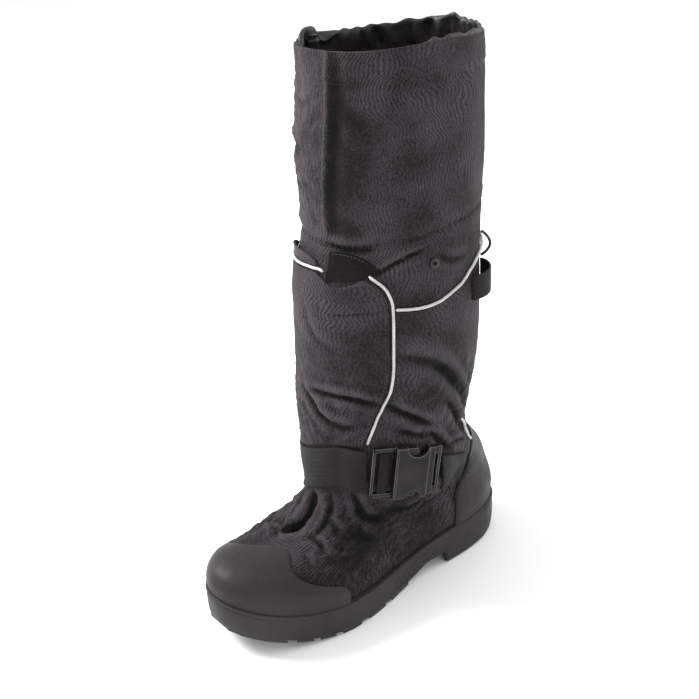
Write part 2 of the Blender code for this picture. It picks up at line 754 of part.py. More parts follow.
def cylinder(name, centre, radius, low, high, sides, frame, look, collection):
    """A round pin along the local Z of a frame, centred on a local X and Y."""
    mesh = bpy.data.meshes.new(name)
    shaped = bmesh.new()
    depth = (high - low) * MM
    bmesh.ops.create_cone(
        shaped, cap_ends=True, segments=sides, radius1=radius * MM, radius2=radius * MM, depth=depth
    )
    bmesh.ops.translate(shaped, verts=shaped.verts, vec=Vector((*centre, (low + high) / 2)) * MM)
    shaped.to_mesh(mesh)
    shaped.free()
    obj = bpy.data.objects.new(name, mesh)
    obj.matrix_world = frame
    if look:
        mesh.materials.append(look)
    collection.objects.link(obj)
    return obj


def round_edges(obj, width, segments):
    bevel = obj.modifiers.new("round_edges", "BEVEL")
    bevel.width = width * MM
    bevel.segments = segments


# Side release buckle, in its own frame: X along the strap to the insert, Y up, Z out from the boot.
BUCKLE_LIFT = 1.6
BUCKLE_RAISE = 1.5
BUCKLE_SLOPE = -0.12
BODY_START = -10.0
BODY_END = 21.0
BODY_HALF = 26.0
BODY_DEPTH = 9.5
FRAME_START = -31.0
FRAME_HALF = 25.0
FRAME_DEPTH = 5.0
SLOT_START = -26.5
SLOT_END = -19.0
SLOT_HALF = 20.0
CHANNEL_LOW = 2.5
CHANNEL_HIGH = 7.0
NOTCH_X = 13.5
NOTCH_RADIUS = 7.0
PRONG_LOW = 19.8
PRONG_HIGH = 24.2
PRONG_START = 8.0
INSERT_GAP = 0.4
INSERT_END = 33.0
INSERT_HALF = 24.2
INSERT_SLOT = ((27.0, -17.0, -1.0), (30.0, 17.0, 9.0))
CLEARANCE = 0.5


def build_buckle():
    plastic = material("gloss_plastic", PLASTIC_COLOUR, 0.25)
    middle = strap_middle(BUCKLE_TURN) + BUCKLE_RAISE
    outward = outward_at(BUCKLE_TURN, middle)
    along = Vector((-outward.y, outward.x, BUCKLE_SLOPE))
    frame = frame_at(on_upper(BUCKLE_TURN, middle, BUCKLE_LIFT), along, outward)
    joins = cutter_group("socket_joins")
    cuts = cutter_group("socket_cuts")
    body = box(
        "buckle_socket",
        (BODY_START, -BODY_HALF, 0.0),
        (BODY_END, BODY_HALF, BODY_DEPTH),
        frame,
        plastic,
        parts,
    )
    round_edges(body, 1.6, 2)
    ladder_frame = box(
        "ladder_frame",
        (FRAME_START, -FRAME_HALF, 0.0),
        (BODY_START + 4.0, FRAME_HALF, FRAME_DEPTH),
        frame,
        None,
        joins,
    )
    round_edges(ladder_frame, 1.0, 2)
    past = BODY_DEPTH + CUT_PAST
    box("slot_cut", (SLOT_START, -SLOT_HALF, -CUT_PAST), (SLOT_END, SLOT_HALF, past), frame, None, cuts)
    for side in (1, -1):
        low, high = sorted((side * (PRONG_LOW - CLEARANCE), side * (PRONG_HIGH + CLEARANCE)))
        centre = (NOTCH_X, side * BODY_HALF)
        cylinder(f"notch_{side}", centre, NOTCH_RADIUS, -CUT_PAST, past, 20, frame, None, cuts)
        first = (PRONG_START - CLEARANCE, low, CHANNEL_LOW)
        last = (BODY_END + CUT_PAST, high, CHANNEL_HIGH)
        box(f"channel_{side}", first, last, frame, None, cuts)
    combine(body, "UNION", joins)
    combine(body, "DIFFERENCE", cuts)
    arms = cutter_group("insert_arms")
    insert_cuts = cutter_group("insert_cuts")
    insert = box(
        "buckle_insert",
        (BODY_END + INSERT_GAP, -INSERT_HALF, 1.0),
        (INSERT_END, INSERT_HALF, 7.5),
        frame,
        plastic,
        parts,
    )
    round_edges(insert, 1.0, 2)
    for side in (1, -1):
        low, high = sorted((side * PRONG_LOW, side * PRONG_HIGH))
        box(f"arm_{side}", (PRONG_START, low, 3.0), (BODY_END + 4.0, high, 6.5), frame, None, arms)
    box("insert_slot", INSERT_SLOT[0], INSERT_SLOT[1], frame, None, insert_cuts)
    combine(insert, "UNION", arms)
    combine(insert, "DIFFERENCE", insert_cuts)
    for group in (joins, cuts, arms, insert_cuts):
        hide_group(group)


# Lower edge of the hook and loop patch, above the flap.
PATCH_LOW = (
    {"turn": 281.0, "z": 322.0},
    {"turn": 296.0, "z": 324.5},
    {"turn": 304.0, "z": 330.0},
    {"turn": 309.0, "z": 334.5},
    {"turn": 315.0, "z": 332.5},
    {"turn": 320.0, "z": 325.0},
    {"turn": 331.0, "z": 322.5},
)
PATCH_TOP = 346.0
PATCH_DROP = 6.0
PATCH_THICKNESS = 1.2


def patch_place(across, up):
    first = PATCH_LOW[0]["turn"]
    turn = first + (PATCH_LOW[-1]["turn"] - first) * across
    low = smooth(PATCH_LOW, "turn", turn, "z")
    high = PATCH_TOP - PATCH_DROP * (1 - ease(first, first + 24.0, turn))
    return turn, low + (high - low) * up, 0.0


LOOP_START = 382.0
LOOP_END = 412.0
LOOP_HEIGHT = 22.0
LOOP_LOW = 286.0
LOOP_BULGE = 9.0
LOOP_THICKNESS = 1.6


def loop_place(across, up):
    turn = LOOP_START + (LOOP_END - LOOP_START) * across
    lift = LOOP_BULGE * math.sin(math.pi * across) ** 0.7
    return turn, LOOP_LOW + LOOP_HEIGHT * up, lift


SNAP_PROFILE = ((1.8, 0.0), (1.8, 1.5), (2.9, 2.1), (4.3, 1.4), (4.3, 0.0))
SNAP_SIDES = 14
SNAP_TURN = 348.0
SNAP_HEIGHT = 334.0


def build_snap():
    """The ring of the eyelet on the outer side, a profile turned about its axis."""
    mesh = bpy.data.meshes.new("snap_ring")
    count = len(SNAP_PROFILE)
    points = [(radius * MM, 0, height * MM) for radius, height in SNAP_PROFILE]
    mesh.from_pydata(points, [(k, (k + 1) % count) for k in range(count)], [])
    obj = bpy.data.objects.new("snap_ring", mesh)
    mesh.materials.append(material("gloss_plastic", PLASTIC_COLOUR, 0.25))
    outward = outward_at(SNAP_TURN, SNAP_HEIGHT)
    obj.matrix_world = frame_at(on_upper(SNAP_TURN, SNAP_HEIGHT, 0.6), Vector((0, 0, 1)), outward)
    turned = obj.modifiers.new("turn", "SCREW")
    turned.steps = SNAP_SIDES
    turned.render_steps = SNAP_SIDES
    turned.use_merge_vertices = True
    turned.merge_threshold = 0.00005
    parts.objects.link(obj)


LOCK_TURN = 214.0
LOCK_RADIUS = 6.0
LOCK_LOW = 491.0
LOCK_HIGH = 504.0
BUTTON_RADIUS = 3.8
BUTTON_RISE = 3.5


def build_cord_lock():
    """The barrel that holds the drawcord of the collar, inside the hem."""
    plastic = material("gloss_plastic", PLASTIC_COLOUR, 0.25)
    centre = upper_offset(LOCK_TURN, 505.0, -(WALL + LOCK_RADIUS + 0.8))
    centre.z = 0.0
    frame = Matrix.Translation(centre * MM)
    size = (LOCK_RADIUS, LOCK_LOW, LOCK_HIGH, 16)
    barrel = cylinder("collar_cord_lock", (0, 0), *size, frame, plastic, parts)
    round_edges(barrel, 1.2, 1)
    button = cutter_group("lock_button")
    size = (BUTTON_RADIUS, LOCK_HIGH - CUT_PAST, LOCK_HIGH + BUTTON_RISE, 12)
    cylinder("button", (0, 0), *size, frame, None, button)
    combine(barrel, "UNION", button)
    hide_group(button)


DRAWCORD_RADIUS = 1.3
DRAWCORD_TURN = 404.0
DRAWCORD_TOP = 337.0
DRAWCORD_LOW = 313.0
DRAWCORD_BULGE = 8.0
DRAWCORD_LEAN = 4.0


def build_drawcord():
    """The loop of cord that stands off the back of the calf."""
    route = []
    steps = 14
    for k in range(steps + 1):
        share = k / steps
        lift = DRAWCORD_RADIUS + DRAWCORD_BULGE * math.sin(math.pi * share) ** 0.8
        turn = DRAWCORD_TURN + DRAWCORD_LEAN * share
        route.append(on_upper(turn, DRAWCORD_TOP + (DRAWCORD_LOW - DRAWCORD_TOP) * share, lift))
    build_cord("drawcord_loop", route, DRAWCORD_RADIUS, material("cord", FABRIC, 0.6), 2)


def stand_on_origin():
    """Moves every piece so that the middle of the footprint box is the origin."""
    base = bpy.data.objects.new("footprint_middle", None)
    bpy.context.scene.collection.objects.link(base)
    bpy.context.view_layer.update()
    graph = bpy.context.evaluated_depsgraph_get()
    corners = []
    for obj in parts.objects:
        if obj.name != "drawcord_loop":
            evaluated = obj.evaluated_get(graph)
            mesh = evaluated.to_mesh()
            corners += [evaluated.matrix_world @ vertex.co for vertex in mesh.vertices]
            evaluated.to_mesh_clear()
    for obj in bpy.data.objects:
        if obj is not base:
            kept = obj.matrix_world.copy()
            obj.parent = base
            obj.matrix_world = kept
    middle = [(min(c[axis] for c in corners) + max(c[axis] for c in corners)) / 2 for axis in (0, 1)]
    base.location = (-middle[0], -middle[1], -min(c.z for c in corners))


def build_overshoe():
    clear_scene()
    rubber = material("rubber", RUBBER_COLOUR, 0.5)
    webbing = material("webbing", FABRIC, 0.6)
    nylon = material("nylon", FABRIC, 0.7)
    build_upper()
    build_tread(build_sole())
    build_studs()
    build_insole()
    build_band("toe_cap", TOE_CAP, rubber, 23, 7, CAP_GAP)
    build_band("heel_counter", HEEL_COUNTER, rubber, 18, 9, COUNTER_GAP)
    build_strap("ankle_strap", STRAP[0]["turn"], STRAP_END, STRAP_END, webbing, 20)
    build_strap("ankle_strap_rear", STRAP_REAR, STRAP[-1]["turn"], STRAP_REAR, webbing, 7)
    build_patch("front_flap", flap_place, FLAP_THICKNESS, nylon, 14, 9, OVERLAY_GAP)
    build_patch("hook_patch", patch_place, PATCH_THICKNESS, nylon, 10, 4, OVERLAY_GAP)
    build_patch("rear_pull_loop", loop_place, LOOP_THICKNESS, webbing, 11, 2, OVERLAY_GAP)
    build_piping()
    build_buckle()
    build_snap()
    build_cord_lock()
    build_drawcord()
    stand_on_origin()


build_overshoe()
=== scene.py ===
import math

import bmesh
import bpy
import numpy as np
from mathutils import Matrix, Vector, noise


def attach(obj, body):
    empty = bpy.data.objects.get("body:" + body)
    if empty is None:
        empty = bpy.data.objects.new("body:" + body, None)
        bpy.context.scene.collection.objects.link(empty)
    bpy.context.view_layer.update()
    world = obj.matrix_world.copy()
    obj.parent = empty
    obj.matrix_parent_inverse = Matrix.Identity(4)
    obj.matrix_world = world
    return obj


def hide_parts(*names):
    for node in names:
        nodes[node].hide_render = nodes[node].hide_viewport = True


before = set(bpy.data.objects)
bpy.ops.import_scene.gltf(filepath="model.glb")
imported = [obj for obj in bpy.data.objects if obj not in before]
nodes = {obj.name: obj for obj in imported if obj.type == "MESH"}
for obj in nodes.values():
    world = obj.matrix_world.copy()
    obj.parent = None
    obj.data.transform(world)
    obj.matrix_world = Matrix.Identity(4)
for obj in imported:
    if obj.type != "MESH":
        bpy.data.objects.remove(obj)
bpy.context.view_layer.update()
print("frame loaded,", len(nodes), "nodes")

# the boot's own shape, in millimetres, as the solids have it: toe to -Y, heel to +Y, outer side +X
# turn goes around it: 0 on the outer side, 90 at the heel, 180 on the inner side, 270 at the toe
boot = {
    "shift": np.array((-4.545, 0.0, 0.0)),
    "length": 330.0,
    "heelEnd": 165.0,
    "height": 508.0,
    "hem": 484.0,
    "wall": 2.6,
    "seatGap": 0.3,
    "ballTop": 31.0,
    "heelTop": 38.0,
    "toeSpring": 25.0,
    "springStart": -60.0,
    "widest": 66.75,
    "studTip": 0.8,
}

# plan outline of the sole: share of the length from the heel, half widths outside and inside
outline = np.array((
    (0.012, 22.0, 21.0), (0.05, 38.0, 36.0), (0.114, 49.5, 47.0), (0.183, 54.0, 51.0),
    (0.28, 55.0, 46.5), (0.39, 55.0, 43.0), (0.475, 58.0, 48.5), (0.544, 62.0, 57.0),
    (0.622, 66.0, 64.0), (0.697, 66.5, 67.0), (0.767, 62.0, 65.0), (0.836, 55.0, 59.0),
    (0.906, 43.5, 48.0), (0.956, 31.0, 34.0), (0.988, 16.5, 18.0),
))

# level sections of the upper: height, heel end, toe end, half widths outside and inside, roundness
sections = np.array((
    (31.0, 159.0, -160.0, 62.0, 62.0, 0.00), (42.0, 160.0, -160.5, 62.5, 62.5, 0.00),
    (51.0, 159.5, -157.0, 62.0, 61.5, 0.00), (58.0, 158.0, -150.0, 60.5, 59.0, 0.03),
    (64.0, 156.5, -140.0, 58.5, 56.5, 0.06), (69.0, 155.0, -127.0, 57.0, 54.0, 0.10),
    (73.0, 154.0, -112.0, 55.5, 51.5, 0.16), (77.0, 153.0, -94.5, 55.0, 49.5, 0.25),
    (82.0, 151.5, -78.0, 55.5, 49.0, 0.38), (89.0, 149.0, -63.5, 57.0, 50.5, 0.54),
    (96.5, 145.5, -52.5, 58.5, 53.5, 0.70), (104.0, 141.0, -45.5, 61.0, 58.0, 0.82),
    (111.0, 137.0, -42.5, 64.5, 66.0, 0.93), (117.0, 133.0, -42.0, 67.5, 69.0, 0.98),
    (124.0, 128.5, -42.0, 70.0, 71.3, 1.00), (134.0, 123.5, -41.5, 71.5, 72.8, 1.00),
    (150.0, 120.0, -40.5, 72.0, 72.0, 1.00), (172.0, 122.0, -40.5, 73.5, 73.5, 1.00),
    (200.0, 128.0, -39.8, 76.0, 76.0, 1.00), (240.0, 134.0, -37.5, 77.7, 77.7, 1.00),
    (290.0, 136.0, -36.5, 77.8, 77.8, 1.00), (325.0, 136.0, -31.0, 76.0, 76.0, 1.00),
    (350.0, 138.0, -24.0, 73.5, 73.5, 1.00), (385.0, 139.5, -25.8, 74.6, 74.6, 1.00),
    (425.0, 141.0, -26.2, 75.5, 75.5, 1.00), (460.0, 141.3, -23.0, 74.4, 74.4, 1.00),
    (490.0, 141.0, -20.5, 72.8, 72.8, 1.00), (508.0, 140.0, -19.0, 72.0, 72.0, 1.00),
))

# upper edges of the rubber pieces and the middle of the ankle strap, as turn and height
capEdge = np.array((
    (205.0, 41.0), (209.0, 48.0), (222.0, 54.0), (235.0, 61.0), (249.0, 68.5), (266.0, 74.0),
    (281.0, 76.0), (293.0, 74.0), (304.0, 68.5), (314.0, 62.0), (322.0, 57.0), (330.0, 52.5),
    (335.0, 48.5), (337.5, 41.0),
))
counterEdge = np.array((
    (31.0, 62.0), (33.0, 88.0), (37.0, 107.0), (46.0, 117.0), (62.0, 121.0), (90.0, 122.5),
    (118.0, 121.0), (134.0, 117.0), (143.0, 107.0), (147.0, 88.0), (149.0, 62.0),
))
strapLine = np.array((
    (151.0, 98.0), (180.0, 104.0), (215.0, 114.0), (248.0, 124.0), (287.0, 144.5), (310.0, 148.0),
    (332.0, 143.5), (354.0, 133.0), (382.0, 109.0), (388.3, 104.0),
))
flapEdge = np.array((
    (172.0, 308.0), (200.0, 314.0), (225.0, 320.5), (266.0, 322.0), (302.0, 321.5), (314.0, 318.5),
    (321.0, 314.5), (326.0, 308.0),
))
flapTop = np.array((
    (215.0, 324.0), (250.0, 324.0), (270.0, 326.0), (279.0, 325.5), (283.0, 318.0), (300.0, 321.5),
    (312.0, 326.0),
))
sidePiping = np.array((
    (325.0, 300.5), (340.5, 299.0), (352.5, 300.5), (363.0, 305.0), (372.0, 309.5), (380.0, 316.0),
    (388.0, 321.5), (400.0, 326.0), (425.0, 328.0), (450.0, 328.0),
))
heelPiping = np.array(((25.5, 167.5), (33.0, 157.0), (39.0, 144.0), (44.0, 131.0), (47.0, 122.5)))
strap = {"width": 42.0, "rise": 7.5, "riseTurn": 22.0, "overFlap": 0.7, "selvedge": 2.6}


def smooth(table, at, column=1):
    places = table[:, 0]
    values = table[:, column]
    last = len(places) - 1
    around = np.arange(last + 1)
    before = np.maximum(around - 1, 0)
    after = np.minimum(around + 1, last)
    slopes = (values[after] - values[before]) / (places[after] - places[before])
    at = np.clip(np.asarray(at, float), places[0], places[-1])
    i = np.clip(np.searchsorted(places, at, side="right") - 1, 0, last - 1)
    run = places[i + 1] - places[i]
    t = (at - places[i]) / run
    rise = (1 + 2 * t) * (1 - t) ** 2 * values[i] + t * t * (3 - 2 * t) * values[i + 1]
    return rise + run * (t * (1 - t) ** 2 * slopes[i] - t * t * (1 - t) * slopes[i + 1])


def ease(low, high, at):
    t = np.clip((np.asarray(at, float) - low) / (high - low), 0.0, 1.0)
    return t * t * (3 - 2 * t)


def spread(first, last, share):
    return first + (last - first) * share


def bell(away, width):
    return np.exp(-((away / width) ** 2))


fullness = outline.copy()
fullness[:, 1:] /= np.sqrt(1 - (1 - 2 * outline[:, :1]) ** 2)


def halfWidth(share, outer):
    along = 1 - 2 * np.asarray(share, float)
    full = np.where(outer, smooth(fullness, share, 1), smooth(fullness, share, 2))
    return full * np.sqrt(np.maximum(1 - along * along, 0.0))


def toeLift(y):
    t = np.maximum((boot["springStart"] - y) / (boot["springStart"] + boot["heelEnd"]), 0.0)
    return boot["toeSpring"] * t * t


def soleTop(y):
    return spread(boot["ballTop"], boot["heelTop"], ease(-20.0, 90.0, y)) + toeLift(y)


def upperPoint(turn, z):
    angle = np.radians(turn)
    along = np.sin(angle)
    outer = np.cos(angle) >= 0
    heel, toe, outside, inside, rounded = (smooth(sections, z, k) for k in range(1, 6))
    y = (heel + toe) / 2 + along * (heel - toe) / 2
    flat = halfWidth((1 - along) / 2, outer) / boot["widest"]
    across = np.abs(np.cos(angle))
    width = (flat * (1 - rounded) + across * rounded) * np.where(outer, outside, inside)
    rise = (soleTop(y) - boot["ballTop"]) * (1 - ease(60.0, 150.0, z))
    return np.stack([np.where(outer, width, -width), y, z + rise + boot["seatGap"]], axis=-1)


def upperNormal(turn, z):
    across = upperPoint(turn + 1.0, z) - upperPoint(turn - 1.0, z)
    low = np.maximum(z - 1.0, boot["ballTop"])
    high = np.minimum(z + 1.0, boot["height"])
    out = np.cross(across, upperPoint(turn, high) - upperPoint(turn, low))
    return out / np.linalg.norm(out, axis=-1, keepdims=True)


def lumps(points, size, seed):
    flat = np.asarray(points).reshape(-1, 3) / size + seed
    found = [noise.noise(Vector(place)) for place in flat]
    return np.array(found).reshape(np.asarray(points).shape[:-1])


# folds of the cloth: width and depth of the trough, height of the fold that hangs over its upper side,
# all in millimetres, and the route, as places of turn and height
folds = (
    # the deep pocket in front of the ankle, its outer ridge and the creases under the strap
    (7.0, 7.4, 3.2, (261, 111), (267, 102), (270, 94), (270, 88), (266, 83), (259, 80)),
    (3.6, -4.0, 0.0, (238, 101), (248, 93), (255, 86), (260, 80)),
    (4.6, 2.8, 2.0, (299, 120), (304, 109), (311, 99), (320, 93), (332, 90)),
    (5.0, 2.8, 2.0, (312, 122), (325, 115), (339, 116), (354, 121)),
    (4.0, 2.0, 1.6, (280, 110), (287, 100), (291, 90), (290, 82)),
    # small creases over the toes and along the outer side
    (2.4, 2.2, 1.5, (244, 77), (256, 79), (270, 78), (284, 80)),
    (3.8, 1.9, 1.4, (284, 84), (293, 82), (303, 79), (313, 74)),
    (4.0, 1.7, 1.3, (292, 93), (300, 89), (309, 82)),
    (3.4, 1.5, 1.2, (296, 76), (306, 73), (317, 67)),
    (4.8, 1.9, 1.4, (316, 87), (326, 80), (337, 75)),
    (4.4, 2.8, 1.8, (332, 97), (344, 90), (359, 86)),
    (4.6, 3.0, 1.8, (338, 109), (353, 102), (370, 98)),
    (3.6, 1.8, 1.2, (352, 77), (367, 74), (384, 74)),
    (4.6, 2.4, 1.6, (362, 110), (376, 100), (388, 86)),
    # over the ankle
    (4.4, 3.0, 2.6, (264, 213), (280, 217), (302, 217), (319, 211)),
    (4.4, 3.8, 2.8, (321, 211), (332, 201), (343, 191), (358, 177)),
    (6.5, 3.8, 2.8, (350, 240), (357, 234), (368, 216), (381, 196), (393, 174)),
    (5.0, 4.2, 2.8, (362, 204), (375, 182), (386, 163), (397, 145)),
    (4.4, 3.4, 2.4, (344, 182), (358, 166), (369, 147), (377, 136)),
    (4.0, 2.4, 1.8, (330, 184), (342, 176), (352, 168)),
    (3.6, 2.8, 2.0, (368, 150), (382, 146), (396, 136)),
    (5.4, 3.0, 2.4, (256, 213), (267, 206), (278, 193), (291, 188), (304, 190)),
    (9.0, 1.8, 1.4, (322, 258), (340, 250), (358, 236), (380, 214)),
    (6.5, 1.1, 0.9, (262, 298), (270, 276), (279, 265), (292, 258)),
    (1.6, 1.1, 0.5, (283, 293.5), (295, 295.5), (307, 298), (322, 301)),
    # under the shaft's seam and beside the patch
    (4.4, 2.4, 1.8, (276, 352), (288, 349), (302, 350), (312, 352)),
    (2.8, 2.8, 1.8, (313, 331), (322, 338), (332, 344), (342, 347)),
    (4.4, 1.8, 1.4, (350, 340), (362, 332), (376, 330)),
    (6.0, 2.4, 1.8, (210, 350), (222, 354), (236, 352), (252, 348)),
    # the shaft
    (20.0, 1.0, 0.6, (300, 420), (316, 428), (334, 424), (350, 410)),
    (14.0, 0.9, 0.6, (288, 470), (300, 455), (318, 450)),
    (7.0, 2.0, 1.6, (216, 432), (240, 424), (262, 430)),
    (5.0, 1.8, 1.4, (232, 470), (250, 464), (270, 468)),
    (5.0, 1.6, 1.2, (236, 398), (252, 394), (268, 400)),
    # the inner side and the back
    (8.0, 3.2, 2.2, (140, 210), (165, 190), (190, 176), (215, 170)),
    (7.0, 3.4, 2.4, (110, 190), (130, 172), (150, 158)),
    (6.5, 3.6, 2.6, (60, 160), (80, 154), (100, 154), (120, 160)),
    (8.0, 2.6, 1.8, (68, 214), (88, 196), (108, 188)),
    (6.0, 2.6, 1.8, (50, 196), (66, 182), (84, 176)),
    (4.4, 2.4, 1.6, (160, 92), (180, 84), (200, 80)),
    (3.6, 2.2, 1.6, (206, 90), (218, 84), (232, 80)),
    (12.0, 1.8, 1.2, (150, 300), (172, 285), (196, 280)),
    (8.0, 2.2, 1.6, (172, 240), (196, 228), (222, 226)),
    (6.0, 1.8, 1.4, (60, 352), (90, 348), (120, 352), (150, 350)),
    (12.0, 1.6, 1.2, (70, 290), (92, 280), (116, 284)),
)
# the crumple between the folds, in millimetres
crumple = {
    # soft lumps: size, seed, height
    "soft": ((46.0, 3.0, 2.2), (21.0, 9.0, 1.1)),
    # ridges: size, seed, height everywhere, and more on the foot, at the ankle and on the shaft's inner side
    "ridges": ((15.0, 17.0, 0.25, 1.0, 0.8, 0.45), (6.5, 27.0, 0.12, 0.85, 0.45, 0.5)),
}
# the standing fold down the front of the shaft, and the sewn seam around it
frontEdge = np.array(((360.0, 277.0), (400.0, 279.5), (440.0, 281.5), (480.0, 282.0), (507.0, 282.0)))
shaftSeam = np.array((
    (200.0, 356.0), (277.0, 350.5), (309.0, 355.0), (337.5, 358.0), (358.5, 362.5), (382.5, 364.0),
    (430.0, 366.0), (500.0, 362.0), (560.0, 356.0),
))


def ridged(points, size, seed):
    # thin ridges between smooth hollows, as crumpled cloth has them
    return np.clip(1 - 3.2 * np.abs(lumps(points, size, seed)), -0.4, 1.0)


def foldRoute(route):
    route = np.array(route, float)
    share = np.linspace(0, 1, len(route))
    fine = np.linspace(0, 1, 4 * len(route))
    turn = smooth(np.stack([share, route[:, 0]], 1), fine)
    z = smooth(np.stack([share, route[:, 1]], 1), fine)
    return upperPoint(turn, z), upperNormal(turn, z)


def foldHeight(points, turn, z):
    # how far the cloth stands off its plain surface at each point, and the part of it from the placed folds
    height = np.zeros(points.shape[:-1])
    for width, depth, over, *places in folds:
        route, normals = foldRoute(places)
        reach = width * 4.5
        near = ((points > route.min(axis=0) - reach) & (points < route.max(axis=0) + reach)).all(axis=-1)
        if not near.any():
            continue
        place = points[near]
        best = np.full(len(place), 1e9)
        side = np.zeros(len(place))
        share = np.zeros(len(place))
        count = len(route) - 1
        for k in range(count):
            step = route[k + 1] - route[k]
            away = place - route[k]
            t = np.clip(away @ step / (step @ step), 0.0, 1.0)
            across = away - t[:, None] * step
            far = np.linalg.norm(across, axis=1)
            closer = far < best
            best = np.where(closer, far, best)
            side = np.where(closer, np.sign(across @ np.cross(normals[k], step)), side)
            share = np.where(closer, (k + t) / count, share)
        # the upper side is the one that points up on the boot
        middle = len(route) // 2
        up = np.cross(normals[middle], route[middle + 1] - route[middle])
        signed = best * side * (1.0 if up[2] + 0.3 * up[1] > 0 else -1.0)
        stand = -depth * bell(signed, 0.62 * width) + over * bell(signed - 1.35 * width, 0.85 * width)
        stand += 0.35 * over * bell(signed + 1.6 * width, width)
        height[near] += stand * np.sin(np.pi * np.clip(share, 0.0, 1.0)) ** 0.6
    placed = height.copy()
    soft = sum(lumps(points, size, seed) * rise for size, seed, rise in crumple["soft"])
    foot = 1 - ease(96.0, 120.0, z)
    ankle = ease(118.0, 140.0, z) * (1 - ease(205.0, 250.0, z))
    stripe = ease(212.0, 222.0, turn) * (1 - ease(277.0, 281.0, turn)) * ease(352.0, 366.0, z)
    height += soft * (0.6 + 0.4 * foot)
    for size, seed, least, onFoot, onAnkle, onStripe in crumple["ridges"]:
        rise = least + onFoot * foot + onAnkle * ankle + onStripe * stripe
        height += (ridged(points, size, seed) - 0.4) * rise
    # the front fold stands out over a few millimetres beside it
    bend = np.where(turn > 180, turn, turn + 360)
    edge = (bend - smooth(frontEdge, z)) * 1.3
    ridge = 1.9 * bell(edge, 2.6) - 1.8 * bell(edge - 9.0, 6.0)
    height += ridge * ease(350.0, 372.0, z) * (1 - 0.4 * ease(495.0, 508.0, z))
    # the cloth is drawn in at the seam around the shaft, with small puckers
    seam = np.where(turn < 200, turn + 360, turn)
    off = z - smooth(shaftSeam, seam)
    pucker = 0.7 * np.sin(np.radians(seam) * 78 + 4 * lumps(points, 30.0, 5.0))
    height += (pucker - 1.0) * bell(off, 2.2) + 0.9 * bell(off - 6.5, 4.5)
    height += 0.7 * bell(off + 7.0, 4.5)
    # a hem at the collar, sewn 24 mm down
    hem = z - boot["hem"]
    height += 0.8 * ease(-1.0, 3.0, hem) - 0.9 * bell(hem, 1.6)
    mask = clothMask(turn, z)
    return height * mask, placed * mask


def clothMask(turn, z):
    # 0 where the strap, the rubber or the sole holds the cloth flat
    bend = np.where(turn < 151.0, turn + 360.0, turn)
    fromStrap = np.abs(z - smooth(strapLine, bend)) - strap["width"] / 2
    underStrap = (bend < 390.0) & (bend > 149.0)
    mask = np.where(underStrap, ease(1.0, 9.0, fromStrap), 1.0)
    bend = np.where(turn < 180.0, turn + 360.0, turn)
    inCap = (bend > 203.0) & (bend < 340.0)
    mask *= np.where(inCap, ease(1.0, 9.0, z - smooth(capEdge, bend)), 1.0)
    inCounter = (turn > 29.0) & (turn < 151.0)
    mask *= np.where(inCounter, ease(1.0, 9.0, z - smooth(counterEdge, turn)), 1.0)
    besideHeel = bell(z - smooth(heelPiping, turn), 7.0)
    mask *= 1 - 0.8 * np.where((turn > 22.0) & (turn < 50.0), besideHeel, 0.0)
    return mask * ease(32.0, 42.0, z)


def onUpper(turn, z, lift=0.0, folded=True):
    # points on the cloth, in metres, and the way out of it
    turn, z = np.broadcast_arrays(np.asarray(turn, float), np.asarray(z, float))
    points = upperPoint(turn, z)
    normals = upperNormal(turn, z)
    if folded:
        lift = lift + foldHeight(points, turn % 360.0, z)[0]
    lift = np.broadcast_to(np.asarray(lift, float), turn.shape)
    return (points + normals * lift[..., None] + boot["shift"]) * 0.001, normals


def creaseShading(stand):
    # painted shade and light: above 0 in the hollows of the cloth, which it darkens, and below 0 on its
    # ridges, which it brightens
    wide = np.pad(stand, 6, mode="edge")
    rows, columns = stand.shape
    around = 0.0
    for down, across in ((-6, 0), (6, 0), (0, -6), (0, 6), (-3, -3), (3, 3), (-3, 3), (3, -3)):
        around = around + wide[6 + down:6 + down + rows, 6 + across:6 + across + columns] / 8
    return np.clip((around - stand) / 2.4, -1.0, 1.0)


def makeMesh(name, points, faces, finishes, uv=None, slots=None, sharp=None, paintedShading=None):
    mesh = bpy.data.meshes.new(name)
    mesh.from_pydata([tuple(p) for p in np.asarray(points).reshape(-1, 3)], [], faces)
    for finish in finishes:
        mesh.materials.append(finish)
    if uv is not None:
        layer = mesh.uv_layers.new(name="cloth")
        corners = np.zeros(len(mesh.loops), np.int32)
        mesh.loops.foreach_get("vertex_index", corners)
        layer.data.foreach_set("uv", np.asarray(uv, np.float32).reshape(-1, 2)[corners].ravel())
    # the painted shading of the cloth goes into a point attribute
    if paintedShading is not None:
        shade = mesh.attributes.new("paintedShading", "FLOAT", "POINT")
        shade.data.foreach_set("value", np.asarray(paintedShading, np.float32).ravel())
    if slots is not None:
        mesh.polygons.foreach_set("material_index", np.asarray(slots, np.int32))
    mesh.validate()
    obj = bpy.data.objects.new(name, mesh)
    bpy.context.scene.collection.objects.link(obj)
    mesh.shade_smooth()
    if sharp:
        mesh.set_sharp_from_angle(angle=math.radians(sharp))
    return obj


def gridFaces(rows, columns, closed, first=0, flip=False):
    faces = []
    for r in range(rows - 1):
        for c in range(columns if closed else columns - 1):
            after = (c + 1) % columns
            low = first + r * columns
            high = low + columns
            face = (low + c, low + after, high + after, high + c)
            faces.append(face[::-1] if flip else face)
    return faces


def sheetFaces(rows, columns):
    # a front and a back grid, with the rim between them
    count = rows * columns
    faces = gridFaces(rows, columns, False) + gridFaces(rows, columns, False, count, True)
    ring = [*range(columns), *(r * columns + columns - 1 for r in range(1, rows))]
    ring += [(rows - 1) * columns + c for c in range(columns - 2, -1, -1)]
    ring += [r * columns for r in range(rows - 2, 0, -1)]
    for one, other in zip(ring, ring[1:] + ring[:1]):
        faces.append((other, one, one + count, other + count))
    return faces


def joined(parts):
    points, faces, count = [], [], 0
    for found, made in parts:
        points.append(found)
        faces += [tuple(count + v for v in face) for face in made]
        count += len(found)
    return np.concatenate(points), faces


